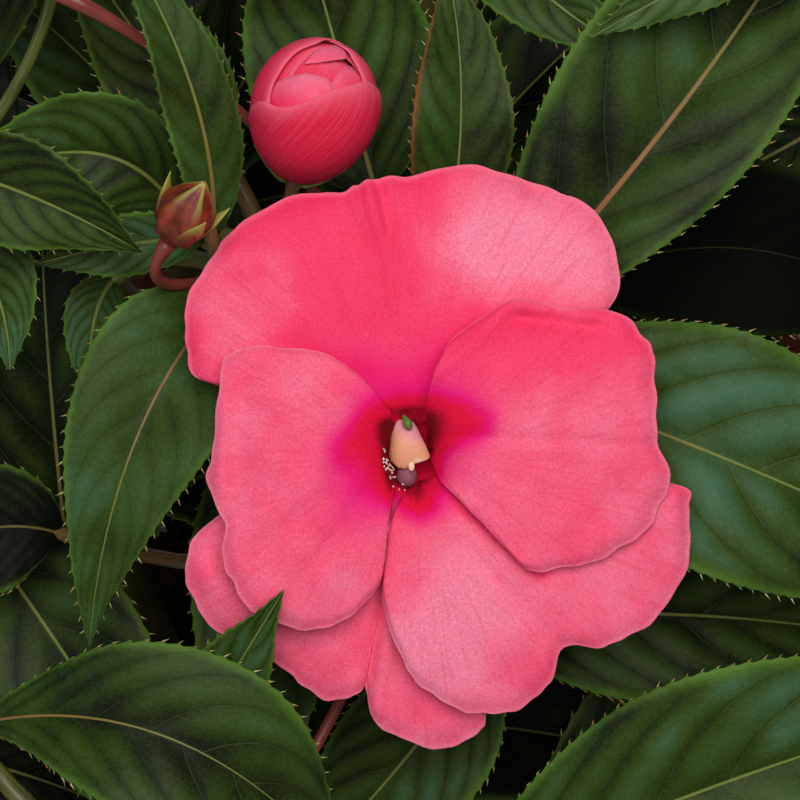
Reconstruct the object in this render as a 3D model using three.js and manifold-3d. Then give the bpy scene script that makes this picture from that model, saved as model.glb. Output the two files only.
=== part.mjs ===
// A potted New Guinea impatiens: a clay pot, its potting mix, leafy stems, open blooms
// and buds. Lengths are millimetres, +Z is up, and the origin is the
// middle of the pot's foot.
import * as THREE from "three";
import { mergeVertices } from "three/addons/utils/BufferGeometryUtils.js";
import Module from "manifold-3d";

const wasm = await Module();
wasm.setup();

const vec = (x, y, z) => new THREE.Vector3(x, y, z);
const radians = THREE.MathUtils.degToRad;
const lerp = THREE.MathUtils.lerp;
const WORLD_UP = vec(0, 0, 1);

// Driving dimensions of the pot and its filling.
const POT = { height: 128, rim: 76, body: 69, foot: 52, band: 26, wall: 6, floor: 8, sides: 28 };
const DRAIN = { count: 3, radius: 5, ring: 28, sides: 10 };
const MIX = { top: 112, bottom: 8.4, gap: 0.4, rings: 4, sides: 20, lump: 1.6 };

// The front bloom's own frame: its throat, and the way that it faces.
const FRONT_TILT = radians(55);
const FRONT_THROAT = vec(0, -58, 240);
const FRONT = {
  origin: FRONT_THROAT,
  right: vec(1, 0, 0),
  up: vec(0, Math.sin(FRONT_TILT), Math.cos(FRONT_TILT)),
  out: vec(0, -Math.cos(FRONT_TILT), Math.sin(FRONT_TILT)),
};

// A point given in a bloom's frame as right, up and out.
function inFrame(frame, [right, up, out]) {
  return frame.origin
    .clone()
    .addScaledVector(frame.right, right)
    .addScaledVector(frame.up, up)
    .addScaledVector(frame.out, out);
}

const front = (point) => inFrame(FRONT, point);

// Leaf, stem and stalk sizes.
const LEAF = { tooth: 0.09, lean: 0.03, rib: 0.6, fold: radians(15), petiole: 1.2 };
const TEETH = { front: 5, rule: 3 }; // how many steps a leaf's midrib is drawn in
const STEM = { sides: 6, steps: 4, foot: 4.6, tip: 2.2, sunk: 20, slack: 0.5 };
const STALK = { sides: 4, steps: 3, radius: 0.9 };
const SEAT = 0.6; // clearance between a bloom and the end of its stalk

// One closed solid from its points and triangles, turned to face outwards.
function solid(points, triangles) {
  const build = (triVerts) =>
    new wasm.Manifold(
      new wasm.Mesh({
        numProp: 3,
        vertProperties: new Float32Array(points.flatMap((p) => p.toArray())),
        triVerts: new Uint32Array(triVerts),
      }),
    );
  const made = build(triangles.flat());
  return made.volume() > 0 ? made : build(triangles.flatMap(([a, b, c]) => [a, c, b]));
}

// A three.js geometry as a solid.
function solidOf(geometry) {
  const bare = geometry.clone();
  bare.deleteAttribute("normal");
  bare.deleteAttribute("uv");
  const merged = mergeVertices(bare, 1e-4);
  const place = merged.getAttribute("position");
  const points = Array.from({ length: place.count }, (_, i) => vec().fromBufferAttribute(place, i));
  const index = Array.from(merged.index.array);
  const triangles = [];
  for (let i = 0; i < index.length; i += 3) triangles.push(index.slice(i, i + 3));
  return solid(points, triangles.filter(([a, b, c]) => a !== b && b !== c && c !== a));
}

const join = (solids) => solids.reduce((all, one) => all.add(one));

// A solid's largest body, without the loose scraps that a cut can leave.
function largest(made) {
  return made.decompose().sort((a, b) => b.volume() - a.volume())[0];
}

// A point on the quadratic through a start, a middle and an end.
function through([start, middle, end], s) {
  return start
    .clone()
    .multiplyScalar((1 - s) * (1 - 2 * s))
    .addScaledVector(middle, 4 * s * (1 - s))
    .addScaledVector(end, s * (2 * s - 1));
}

function slope([start, middle, end], s) {
  return start
    .clone()
    .multiplyScalar(4 * s - 3)
    .addScaledVector(middle, 4 - 8 * s)
    .addScaledVector(end, 4 * s - 1);
}

// A closed solid from a row of rings with the same number of points, flat at both ends.
function drum(points, sides) {
  const triangles = [];
  for (let i = 0; i + sides < points.length; i += sides)
    for (let k = 0; k < sides; k++) {
      const a = i + k;
      const b = i + ((k + 1) % sides);
      triangles.push([a, b, b + sides], [a, b + sides, a + sides]);
    }
  const last = points.length - sides;
  for (let k = 1; k + 1 < sides; k++) triangles.push([0, k + 1, k], [last, last + k, last + k + 1]);
  return solid(points, triangles);
}

// A closed tube of a few flat sides that follows a row of points.
function tube(path, radiusAt, sides, flatten = 1) {
  const points = [];
  let across = null;
  path.forEach((point, i) => {
    const ahead = path[Math.min(i + 1, path.length - 1)];
    const behind = path[Math.max(i - 1, 0)];
    const along = ahead.clone().sub(behind).normalize();
    const seed = across ?? (Math.abs(along.x) < 0.8 ? vec(1, 0, 0) : vec(0, 1, 0));
    across = seed.clone().addScaledVector(along, -seed.dot(along)).normalize();
    const other = along.clone().cross(across);
    const radius = radiusAt(i / (path.length - 1));
    for (let k = 0; k < sides; k++) {
      const turn = (2 * Math.PI * k) / sides;
      points.push(
        point
          .clone()
          .addScaledVector(across, radius * Math.cos(turn))
          .addScaledVector(other, radius * flatten * Math.sin(turn)),
      );
    }
  });
  return drum(points, sides);
}

const steps = (curve, from, to, count) =>
  Array.from({ length: count + 1 }, (_, i) => through(curve, lerp(from, to, i / count)));

// Half the width of a leaf as a share of its widest, from its foot to its tip.
// A belly of 1 has it widest near the middle, and a smaller one nearer its foot.
function leafProfile(s, belly) {
  return Math.sin(Math.PI * s ** belly) ** 0.9 * (1 - 0.3 * s ** 3) * 1.03;
}

// A leaf's axes at a place along its midrib: across it, and out of its upper face.
function leafAxes(leaf, s) {
  const along = slope(leaf.rib, s).normalize();
  const flat = along.clone().cross(leaf.facing).normalize();
  const face = flat.clone().cross(along);
  const side = flat.multiplyScalar(Math.cos(leaf.roll)).addScaledVector(face, Math.sin(leaf.roll));
  return { along, side, face: side.clone().cross(along) };
}

// A point of a leaf's blade: s runs along it, and t from one edge to the other.
function bladePoint(leaf, s, t) {
  const { side, face } = leafAxes(leaf, s);
  const reach = (leaf.width / 2) * leafProfile(s, leaf.belly) * t;
  return through(leaf.rib, s)
    .addScaledVector(side, reach * Math.cos(LEAF.fold))
    .addScaledVector(face, Math.abs(reach) * Math.sin(LEAF.fold));
}

// The four lines that a leaf's surface is hung on at one place: its upper and under midrib
// and its two edges.
function ring(middle, { side, face }, thick, wide) {
  return {
    over: middle.clone().addScaledVector(face, thick),
    under: middle.clone().addScaledVector(face, -thick),
    right: middle.clone().addScaledVector(side, wide),
    left: middle.clone().addScaledVector(side, -wide),
  };
}

// A leaf: two halves folded up from the midrib, with a row of teeth down each edge, and the
// stalk that runs into its stem. Without a stem it is the blade alone, and spare is how much
// further its faces then stand apart when it is tried for room.
function leafSolid(leaf, stem, spare = 0) {
  const points = [];
  const add = (point) => points.push(point) - 1;
  const lines = { over: [], under: [], right: [], left: [] };
  const addRing = (middle, axes, thick, wide) => {
    const corners = ring(middle, axes, thick, wide);
    for (const name of Object.keys(lines)) lines[name].push(add(corners[name]));
  };
  const foot = through(leaf.rib, 0);
  const axes = leafAxes(leaf, 0);
  if (stem) addRing(through(stem.path, leaf.at), axes, LEAF.petiole * 1.2, LEAF.petiole * 1.2);
  addRing(foot, axes, LEAF.petiole * 0.7, LEAF.petiole);
  const base = lines.over.length - 1;
  const n = leaf.teeth;
  for (let i = 1; i < n; i++) {
    const s = i / n;
    const { over, under } = ring(through(leaf.rib, s), leafAxes(leaf, s), LEAF.rib + spare, 0);
    lines.over.push(add(over));
    lines.under.push(add(under));
  }
  for (const [name, hand] of [["right", 1], ["left", -1]])
    for (let j = 1; j < 2 * n; j++) {
      const tooth = j % 2 === 1;
      const s = j / (2 * n) + (tooth ? LEAF.lean : 0);
      lines[name].push(add(bladePoint(leaf, s, hand * (tooth ? 1 + LEAF.tooth : 1))));
    }
  const tip = add(through(leaf.rib, 1));
  const triangles = [];
  for (const [line, edge, flip] of [
    [lines.over, lines.right, false],
    [lines.over, lines.left, true],
    [lines.under, lines.right, true],
    [lines.under, lines.left, false],
  ]) {
    const face = (a, b, c) => triangles.push(flip ? [a, c, b] : [a, b, c]);
    for (let i = 0; i < base; i++) {
      face(line[i], edge[i], edge[i + 1]);
      face(line[i], edge[i + 1], line[i + 1]);
    }
    for (let i = 0; i + 1 < n; i++) {
      const [near, next] = [line[base + i], line[base + i + 1]];
      const [notch, tooth, after] = [0, 1, 2].map((k) => edge[base + 2 * i + k]);
      face(near, notch, tooth);
      face(near, tooth, next);
      face(next, tooth, after);
    }
    face(line.at(-1), edge.at(-2), edge.at(-1));
    face(line.at(-1), edge.at(-1), tip);
  }
  const start = Object.fromEntries(Object.entries(lines).map(([name, line]) => [name, line[0]]));
  triangles.push([start.over, start.left, start.under], [start.over, start.under, start.right]);
  return solid(points, triangles);
}

// Every stem's foot in the potting mix, its growing tip, and its leaves. A front leaf gives
// its midrib's foot, middle and tip in the front bloom's frame; the others follow a rule.
const leafFront = (at, foot, middle, tip, width, roll = 0, belly = 0.8) => ({
  at,
  foot,
  middle,
  tip,
  width,
  roll,
  belly,
});

const SHOOTS = [
  {
    name: "front_shoot",
    foot: [1, -16],
    tip: front([2, 2, -26]),
    leaves: [
      leafFront(0.97, [9, 12, -19], [33, 44, -12], [58, 77, -30], 28, 0, 1.1),
      leafFront(0.95, [13, 8, -21], [46, -4.5, -14], [84, -22, -34], 31, 8),
      leafFront(0.9, [10, -23, -30], [38, -22.5, -31], [68, -27, -46], 23),
      leafFront(0.88, [10, -27, -31], [-2, -43, -30], [-19, -62, -40], 20),
      leafFront(0.98, [4.5, 24, -18], [6.6, 42.5, -12], [4.6, 61, -13], 13.2, -10),
      leafFront(0.92, [-4, 32, -26], [-9.5, 52, -27], [-16, 76, -38], 25),
      leafFront(0.84, [22, 21, -40], [47, 25, -37], [74, 13, -50], 24),
      leafFront(0.58, [-44.5, -11.6, -24], [-56, -11.5, -22], [-70, -19, -30], 17),
    ],
    rule: { count: 5, from: 0.4, to: 0.78, turn: 0.6, length: 74, width: 24, spread: 84 },
  },
  {
    name: "bud_shoot",
    foot: [-9, 6],
    tip: front([-19, 23, -19]),
    leaves: [
      leafFront(0.96, [-21, 18, -15], [-34, -1, -8], [-38.7, -24.8, -16], 16.6, 0, 0.85),
      leafFront(0.98, [-24.6, 26, -15], [-27.2, 45, -6], [-38, 66, -5], 9.6, -22),
      leafFront(0.93, [-29.5, 30, -24], [-41.5, 37, -19], [-60, 31, -26], 16.4, 10),
      leafFront(0.9, [-25.5, 26.5, -21], [-37, 25, -17], [-47, 22.6, -16], 8, 15),
      leafFront(0.86, [-38, 21, -29], [-40.5, 15, -27], [-41, 5, -29], 8),
      leafFront(0.9, [-24, 37, -28], [-33, 50, -28], [-46, 68, -34], 16),
    ],
    rule: { count: 5, from: 0.42, to: 0.8, turn: 3.3, length: 74, width: 24, spread: 84 },
  },
  {
    name: "lower_left_shoot",
    foot: [-27, -30],
    tip: front([-60, -42, -22]),
    leaves: [
      leafFront(0.96, [-55, -35.4, -13], [-29, -35.7, 1.5], [-7.7, -54, -13], 24, 12, 1.25),
      leafFront(0.92, [-36, -50, -22], [-25, -33.5, -7], [-15, -17.4, 4.5], 14),
    ],
    rule: { count: 7, from: 0.5, turn: 2.4, length: 78, width: 25, spread: 78 },
  },
  {
    name: "upper_left_shoot",
    foot: [-26, 9],
    tip: front([-60, 41, -22]),
    leaves: [leafFront(0.97, [-60, 35, -11], [-47, 31, -8], [-33.2, 24, -12], 14.5, -15)],
    rule: { count: 9, from: 0.45, turn: 2.9, length: 76, width: 25, spread: 74 },
  },
  {
    name: "top_shoot",
    foot: [4, 12],
    tip: front([2, 84, -33]),
    leaves: [leafFront(0.96, [7, 72.5, -27], [15.5, 59, -21], [30, 49, -21], 13)],
    rule: { count: 9, from: 0.5, turn: 0.4, length: 72, width: 24, spread: 66 },
  },
  {
    name: "upper_right_shoot",
    foot: [36, 0],
    tip: front([73, 66, -28]),
    leaves: [leafFront(0.97, [52, 66, -11], [36.5, 58, -5], [22.2, 50.1, -5], 8.5, 20)],
    rule: { count: 8, from: 0.5, turn: 5.9, length: 74, width: 25, spread: 68 },
  },
  {
    name: "lower_shoot",
    foot: [5, -40],
    tip: front([10, -66, -34]),
    leaves: [leafFront(0.97, [8, -58, -29], [40, -42.5, -15], [80, -32, -28], 31, -6, 1.05)],
    rule: { count: 6, from: 0.55, turn: 5.2, length: 76, width: 25, spread: 80 },
  },
  {
    name: "left_shoot",
    foot: [-37, -9],
    tip: front([-72, 4, -32]),
    leaves: [leafFront(0.98, [-60, 27, -22], [-52.5, 20.5, -16], [-50.2, 9, -17], 13)],
    rule: { count: 8, from: 0.5, turn: 1.2, length: 78, width: 26, spread: 78 },
  },
  {
    name: "right_shoot",
    foot: [35, -14],
    tip: vec(84, -52, 196),
    leaves: [],
    rule: { count: 9, from: 0.5, turn: 0.9, length: 80, width: 27, spread: 76 },
  },
  {
    name: "right_back_shoot",
    foot: [33, 18],
    tip: vec(82, 44, 210),
    leaves: [],
    rule: { count: 10, from: 0.5, turn: 2.1, length: 82, width: 27, spread: 76 },
  },
  {
    name: "back_shoot",
    foot: [6, 38],
    tip: vec(14, 92, 214),
    leaves: [],
    rule: { count: 10, from: 0.5, turn: 3.7, length: 82, width: 27, spread: 76 },
  },
  {
    name: "left_back_shoot",
    foot: [-26, 32],
    tip: vec(-62, 66, 218),
    leaves: [],
    rule: { count: 10, from: 0.5, turn: 4.6, length: 80, width: 26, spread: 76 },
  },
  {
    name: "far_left_shoot",
    foot: [-42, 12],
    tip: vec(-104, 14, 188),
    leaves: [],
    rule: { count: 9, from: 0.5, turn: 5.5, length: 80, width: 26, spread: 76 },
  },
];

// A stem leaves the mix steeply and then leans out to its tip.
function stemOf(shoot) {
  const foot = vec(...shoot.foot, MIX.top - STEM.sunk);
  const middle = vec(
    lerp(shoot.foot[0], shoot.tip.x, 0.34),
    lerp(shoot.foot[1], shoot.tip.y, 0.34),
    lerp(MIX.top, shoot.tip.z, 0.5),
  );
  return { path: [foot, middle, shoot.tip] };
}

const stemRadius = (s) => lerp(STEM.foot, STEM.tip, s);

// The ways that a leaf by rule may be placed to clear its neighbours, as a change of its
// spread from the stem and of its turn round the stem, in degrees, and as a share of its size.
const LEANS = [0, -11, 11, -22, 22, -33];
const TURNS = [0, 16, -16];
const SIZES = [1, 0.8];

// The leaf that the rule gives at a place on a stem, leaned, turned and sized by a choice.
function ruleLeaf(stem, rule, i, { lean, turn, scale }) {
  const share = rule.count > 1 ? i / (rule.count - 1) : 1;
  const at = lerp(rule.from, rule.to ?? 0.985, share);
  const axis = slope(stem.path, at).normalize();
  const across = axis.clone().cross(WORLD_UP).normalize();
  const over = across.clone().cross(axis);
  const round = rule.turn + 2.4 * i + radians(turn);
  const radial = across.multiplyScalar(Math.cos(round)).addScaledVector(over, Math.sin(round));
  const spread = radians(rule.spread + 16 * (1 - share) + lean);
  const heading = axis.clone().multiplyScalar(Math.cos(spread)).addScaledVector(radial, Math.sin(spread));
  const length = rule.length * (1 - 0.22 * share * share) * scale;
  const foot = through(stem.path, at).addScaledVector(heading, 0.17 * length);
  const lift = axis.clone().add(WORLD_UP).normalize();
  const middle = foot.clone().addScaledVector(heading, 0.5 * length);
  middle.addScaledVector(lift, 0.05 * length);
  const tip = foot.clone().addScaledVector(heading, 0.97 * length);
  tip.addScaledVector(WORLD_UP, -0.14 * length);
  const width = rule.width * (1 - 0.15 * share) * scale;
  return { at, rib: [foot, middle, tip], facing: lift, roll: 0, width, belly: 0.8, teeth: TEETH.rule };
}

function frontLeaf({ at, foot, middle, tip, width, roll, belly }) {
  const rib = [foot, middle, tip].map(front);
  return { at, rib, facing: FRONT.out, roll: radians(roll), width, belly, teeth: TEETH.front };
}

// Blooms: five petals round a throat. An outline is a row of points in millimetres from the
// throat, right and up, that a smooth curve runs through, fanned out from its claw.
const PETALS = [
  {
    claw: [0.4, 2.2],
    layer: -0.9,
    outline: [
      [-12, 6.5], [-25.2, 8.4], [-27.2, 15], [-23, 23.6], [-13, 30.2], [-6, 31], [-1, 32.6],
      [7, 33.8], [15, 32.3], [22.4, 29], [26.2, 22.6], [24.8, 14], [12, 7],
    ],
  },
  {
    claw: [-1.4, -1.2],
    layer: 2.0,
    outline: [
      [-2.2, 4], [-7, 9], [-14.5, 11.6], [-21.4, 10.6], [-23.2, 3], [-24.2, -4.3], [-22.4, -12.6],
      [-19.4, -20.2], [-11.6, -23.4], [-4.4, -19.4], [-2.4, -12.4], [-1.8, -6.6],
    ],
  },
  {
    claw: [2.6, -0.8],
    layer: 2.7,
    outline: [
      [2.3, 5.6], [5.4, 12], [12.8, 17], [20.6, 16.4], [27, 15], [30.8, 8.6], [31.3, 1.4],
      [32.4, -5], [28.6, -11.7], [20.6, -15.4], [13.6, -14.6], [7.2, -8.4], [4, -4.6],
    ],
  },
  {
    claw: [1.3, -4.6],
    layer: 0.6,
    outline: [
      [-1.2, -7.4], [-2.6, -17], [0, -27.6], [6.6, -33], [13, -33.4], [17.8, -29.4], [19.8, -25.4],
      [25.6, -25], [32.4, -20.4], [35.1, -12.6], [32, -4.5], [18, -2.6], [6, -3.2],
    ],
  },
  {
    claw: [-0.6, -4.4],
    layer: -2.4,
    outline: [
      [-8, -2.6], [-20, -7], [-26.6, -13], [-26, -20], [-18.6, -26.6], [-10.4, -32.2], [-5, -30.6],
      [-2.4, -35.8], [3.2, -38.2], [9.4, -35.6], [9.6, -24], [3, -10],
    ],
  },
];
const PETAL = { half: 0.38, droop: 3.2, throat: 6, reach: 33, root: 0.75 };
const FINE = { columns: 13, rings: [0.16, 0.5, 1], sides: 8 };
const PLAIN = { columns: 7, rings: [0.4, 1], sides: 6 };
const THROAT = { middle: [0.6, -1.5], wide: 0.85, tall: 1.2, radius: 3.6, fade: 6 };

// A point on the smooth open curve through a row of plane points.
function onOutline(outline, u) {
  const last = outline.length - 1;
  const at = Math.min(u, 0.999999) * last;
  const i = Math.floor(at);
  const f = at - i;
  const [p, q, r, s] = [i - 1, i, i + 1, i + 2].map((k) => outline[Math.max(0, Math.min(last, k))]);
  const weight = (k) =>
    0.5 *
    (2 * q[k] + (r[k] - p[k]) * f + (2 * p[k] - 5 * q[k] + 4 * r[k] - s[k]) * f * f +
      (3 * q[k] - p[k] - 3 * r[k] + s[k]) * f ** 3);
  return [weight(0), weight(1)];
}

// How far a petal of a layer stands out at a place: it dips into the throat and bends back.
function petalOut([x, y], layer) {
  const dx = x - THROAT.middle[0];
  const dy = y - THROAT.middle[1];
  const away = Math.hypot(dx, dy);
  const inner = Math.hypot(dx / THROAT.wide, dy / THROAT.tall) / THROAT.radius;
  return (
    layer * (1 - Math.exp(-((away / THROAT.fade) ** 2))) -
    PETAL.throat * Math.exp(-inner * inner) -
    PETAL.droop * (away / PETAL.reach) ** 2
  );
}

function petal({ frame, size, grain }, { claw, layer, outline }) {
  const points = [];
  const place = (flat, lift) => {
    const at = [...flat, petalOut(flat, layer) + lift].map((x) => x * size);
    return points.push(inFrame(frame, at)) - 1;
  };
  const pole = place(claw, -PETAL.root);
  const grid = { 1: [], [-1]: [] };
  for (let i = 0; i <= grain.columns; i++) {
    const rim = onOutline(outline, i / grain.columns);
    const border = i === 0 || i === grain.columns;
    grain.rings.forEach((r, j) => {
      const flat = [lerp(claw[0], rim[0], r), lerp(claw[1], rim[1], r)];
      const shared = border || r === 1 ? place(flat, 0) : null;
      for (const over of [1, -1]) {
        grid[over][i] ??= [];
        grid[over][i][j] = shared ?? place(flat, over * PETAL.half);
      }
    });
  }
  const triangles = [];
  for (const over of [1, -1]) {
    const face = (a, b, c) => triangles.push(over > 0 ? [a, b, c] : [a, c, b]);
    for (let i = 0; i < grain.columns; i++) {
      const [near, next] = [grid[over][i], grid[over][i + 1]];
      face(pole, near[0], next[0]);
      for (let j = 0; j + 1 < grain.rings.length; j++) {
        face(near[j], near[j + 1], next[j + 1]);
        face(near[j], next[j + 1], next[j]);
      }
    }
  }
  return solid(points, triangles);
}

// The cup behind the throat, which the petals' claws stand in, and the spur that it ends in.
const CUP = { wall: 0.9, below: 0.3, mouth: 5, rings: [0.5, 1] };
const CUP_SEAT = [0.3, 0.9, -6.1]; // the place on its back that the flower stalk meets
const SPUR = {
  root: 1.2,
  end: 0.5,
  steps: 4,
  start: [0.6, -2.4, -5.9],
  middle: [4.8, -16.8, -15],
  tip: [12, -28, -12],
};

function cup({ frame, size, grain }) {
  const points = [];
  const triangles = [];
  const place = (x, y, z) => points.push(inFrame(frame, [x * size, y * size, z * size])) - 1;
  const [mx, my] = THROAT.middle;
  const sink = (radius) => -PETAL.throat * Math.exp(-((radius / THROAT.radius) ** 2)) - CUP.below;
  const [inside, outside] = [0, CUP.wall].map((back) => ({
    pole: place(mx, my, sink(0) - back),
    rings: CUP.rings.map((share) =>
      Array.from({ length: grain.sides }, (_, k) => {
        const turn = (2 * Math.PI * k) / grain.sides;
        const radius = CUP.mouth * share;
        const x = mx + (radius * THROAT.wide + back * 0.5) * Math.cos(turn);
        const y = my + (radius * THROAT.tall + back * 0.5) * Math.sin(turn);
        return place(x, y, sink(radius) - back);
      }),
    ),
  }));
  const next = (ring, k) => ring[(k + 1) % grain.sides];
  for (const { pole, rings } of [inside, outside]) {
    const face = (a, b, c) => triangles.push(rings === outside.rings ? [a, c, b] : [a, b, c]);
    for (let k = 0; k < grain.sides; k++) {
      face(pole, rings[0][k], next(rings[0], k));
      for (let j = 0; j + 1 < rings.length; j++) {
        face(rings[j][k], rings[j + 1][k], next(rings[j + 1], k));
        face(rings[j][k], next(rings[j + 1], k), next(rings[j], k));
      }
    }
  }
  const [inner, outer] = [inside.rings.at(-1), outside.rings.at(-1)];
  for (let k = 0; k < grain.sides; k++) {
    triangles.push([inner[k], outer[k], next(outer, k)], [inner[k], next(outer, k), next(inner, k)]);
  }
  return solid(points, triangles);
}

function spur({ frame, size, bend }) {
  const curve = [SPUR.start, SPUR.middle, SPUR.tip].map(([x, y, z], i) =>
    inFrame(frame, [(i > 0 ? bend : 1) * x * size, y * size, z * size]),
  );
  return tube(steps(curve, 0, 1, SPUR.steps), (s) => lerp(SPUR.root, SPUR.end, s) * size, 3);
}

// The cream hood over the pistil, on its short filament in the throat.
const HOOD = [
  { at: [0.3, 2.7, -1.5], radius: 0.6 },
  { at: [0.3, 0.6, -1.2], radius: 2 },
  { at: [0.6, -2.7, -1.6], radius: 2.4 },
  { at: [0.7, -3.9, -2.1], radius: 0.9 },
];
const FILAMENT = { foot: -4.6, top: -1.8, radius: 0.8 };

function column({ frame, size }) {
  const at = (p) => inFrame(frame, p.map((x) => x * size));
  const hood = tube(
    HOOD.map((ring) => at(ring.at)),
    (s) => HOOD[Math.round(s * (HOOD.length - 1))].radius * size,
    6,
    0.62,
  );
  const [mx, my] = THROAT.middle;
  const stalk = tube(
    [at([mx, my, FILAMENT.foot]), at([mx, my, FILAMENT.top])],
    () => FILAMENT.radius * size,
    3,
  );
  return join([hood, stalk]);
}

// Where the blooms stand, how they face and how large they are beside the front one.
function facing(origin, azimuth, rise, spin = 0) {
  const [a, e, t] = [azimuth, rise, spin].map(radians);
  const out = vec(Math.cos(a) * Math.cos(e), Math.sin(a) * Math.cos(e), Math.sin(e));
  const flat = vec(-Math.sin(a), Math.cos(a), 0);
  const high = out.clone().cross(flat);
  const right = flat.clone().multiplyScalar(Math.cos(t)).addScaledVector(high, Math.sin(t));
  return { origin, right, up: out.clone().cross(right), out };
}

const bloomOn = (name, at, frame, size, bend, others) => ({
  name: `${name}_bloom`,
  shoot: `${name}_shoot`,
  at,
  frame,
  size,
  bend,
  grain: PLAIN,
  ...others,
});
const BLOOMS = [
  bloomOn("front", 0.84, FRONT, 1, 1, { grain: FINE }),
  bloomOn("upper_left", 0.93, facing(front([-46, 93, 2]), -120, 80), 0.92, -1, {
    via: front([-44, 62, -20]),
  }),
  bloomOn("lower", 0.94, facing(front([-12, -90, -20]), -96, 34, 8), 0.94, 1),
  bloomOn("right", 0.95, facing(vec(108, -66, 214), -26, 50, -10), 0.95, -1),
  bloomOn("back", 0.95, facing(vec(12, 118, 230), 84, 52), 0.96, -1),
  bloomOn("far_left", 0.95, facing(vec(-132, 8, 206), 186, 44, 6), 0.94, -1),
];

// The flower stalk, from inside its stem to the back of its cup, with two small green sepals.
const SEPAL = {
  length: 7,
  width: 3.6,
  thick: 0.8,
  faces: [[0, 2, 5], [5, 2, 1], [0, 5, 3], [5, 1, 3], [0, 4, 2], [4, 1, 2], [0, 3, 4], [4, 3, 1]],
};

function stalkPath(stem, { at, frame, via }, seat) {
  const root = through(stem.path, at);
  const bend = -0.14 * root.distanceTo(seat);
  return [root, via ?? root.clone().lerp(seat, 0.5).addScaledVector(frame.out, bend), seat];
}

function flowerStalk(stem, bloom) {
  const { frame, size } = bloom;
  const [x, y, z] = CUP_SEAT;
  const seat = inFrame(frame, [x * size, y * size, z * size - SEAT]);
  const path = stalkPath(stem, bloom, seat);
  const stalk = tube(steps(path, 0, 1, STALK.steps), () => STALK.radius * size, STALK.sides);
  const foot = seat.clone().addScaledVector(slope(path, 1).normalize(), -1.6);
  const away = (right, up, out) =>
    foot
      .clone()
      .addScaledVector(frame.right, right * size)
      .addScaledVector(frame.up, up * size)
      .addScaledVector(frame.out, out * size);
  const sepals = [-1, 1].map((hand) => {
    const tip = away(SEPAL.length * hand, 3, -0.6);
    const middle = (up, out) => away(0.5 * SEPAL.length * hand, 1.4 + up, out - 0.7);
    const points = [foot, tip, middle(SEPAL.width / 2, 0), middle(-SEPAL.width / 2, 0)];
    points.push(middle(0, -SEPAL.thick / 2), middle(0, SEPAL.thick / 2));
    return solid(points, SEPAL.faces);
  });
  return [stalk, ...sepals];
}

// Buds. A petal of a bud wraps part of an egg, between a foot and a rim that may be waved.
const EGG = { wide: 8.2, deep: 7.6, tall: 9.6 };
const WRAPS = [
  { from: 175, to: 375, rim: 0.62, rise: 0.05, scale: 1 },
  { from: 70, to: 250, rim: 0.92, rise: 0.05, scale: 0.94 },
  { from: -40, to: 110, rim: 0.84, rise: -0.04, scale: 0.9 },
];
const WRAP = { columns: 5, rows: 3, inner: 0.56 };
const HEART = { scale: 0.78, rings: [0.03, 0.15, 0.35, 0.6, 0.78], sides: 7 };

// A point of the egg: round it in degrees, up it from foot to crown, at a share of its size.
function eggPoint(frame, size, round, height, scale) {
  const polar = Math.PI * (1 - height);
  const girth = Math.sin(polar) * (1 + 0.12 * Math.cos(polar)) * scale;
  const turn = radians(round);
  return inFrame(frame, [
    EGG.wide * girth * Math.cos(turn) * size,
    EGG.deep * girth * Math.sin(turn) * size,
    EGG.tall * Math.cos(polar) * lerp(1, scale, 0.5) * size,
  ]);
}

function wrap(frame, size, { from, to, rim, rise, scale }) {
  const points = [];
  const rows = [1, -1].map((over) =>
    Array.from({ length: WRAP.columns + 1 }, (_, i) =>
      Array.from({ length: WRAP.rows + 1 }, (_, j) => {
        const round = lerp(from, to, i / WRAP.columns);
        const top = rim + rise * Math.cos((i / WRAP.columns - 0.5) * 2 * Math.PI);
        const height = lerp(0.06, top, j / WRAP.rows);
        const depth = over > 0 ? scale : WRAP.inner;
        return points.push(eggPoint(frame, size, round, height, depth)) - 1;
      }),
    ),
  );
  const triangles = [];
  const quad = (a, b, c, d) => triangles.push([a, b, c], [a, c, d]);
  const [outer, inner] = rows;
  for (let i = 0; i < WRAP.columns; i++)
    for (let j = 0; j < WRAP.rows; j++) {
      quad(outer[i][j], outer[i + 1][j], outer[i + 1][j + 1], outer[i][j + 1]);
      quad(inner[i][j], inner[i][j + 1], inner[i + 1][j + 1], inner[i + 1][j]);
    }
  for (let i = 0; i < WRAP.columns; i++) {
    quad(outer[i][0], inner[i][0], inner[i + 1][0], outer[i + 1][0]);
    const top = WRAP.rows;
    quad(outer[i][top], outer[i + 1][top], inner[i + 1][top], inner[i][top]);
  }
  for (let j = 0; j < WRAP.rows; j++) {
    quad(outer[0][j], outer[0][j + 1], inner[0][j + 1], inner[0][j]);
    const end = WRAP.columns;
    quad(outer[end][j], inner[end][j], inner[end][j + 1], outer[end][j + 1]);
  }
  return solid(points, triangles);
}

// The petals still folded inside the bud, as one smaller egg.
function heart(frame, size) {
  const points = HEART.rings.flatMap((height) =>
    Array.from({ length: HEART.sides }, (_, k) =>
      eggPoint(frame, size, (360 * k) / HEART.sides, height, HEART.scale),
    ),
  );
  return drum(points, HEART.sides);
}

const openingBud = (frame, size) => join([heart(frame, size), ...WRAPS.map((w) => wrap(frame, size, w))]);

// A closed bud: a pointed drop with five ridges, in sepals whose tips stand clear.
const DROP = [[-1, 0.35], [-0.6, 0.9], [0, 1], [0.6, 0.6], [1.12, 0.07]];
const CLOSED = { radius: 3.9, tall: 5.4, sides: 10, ridge: 0.13, hook: 0.7 };

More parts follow.
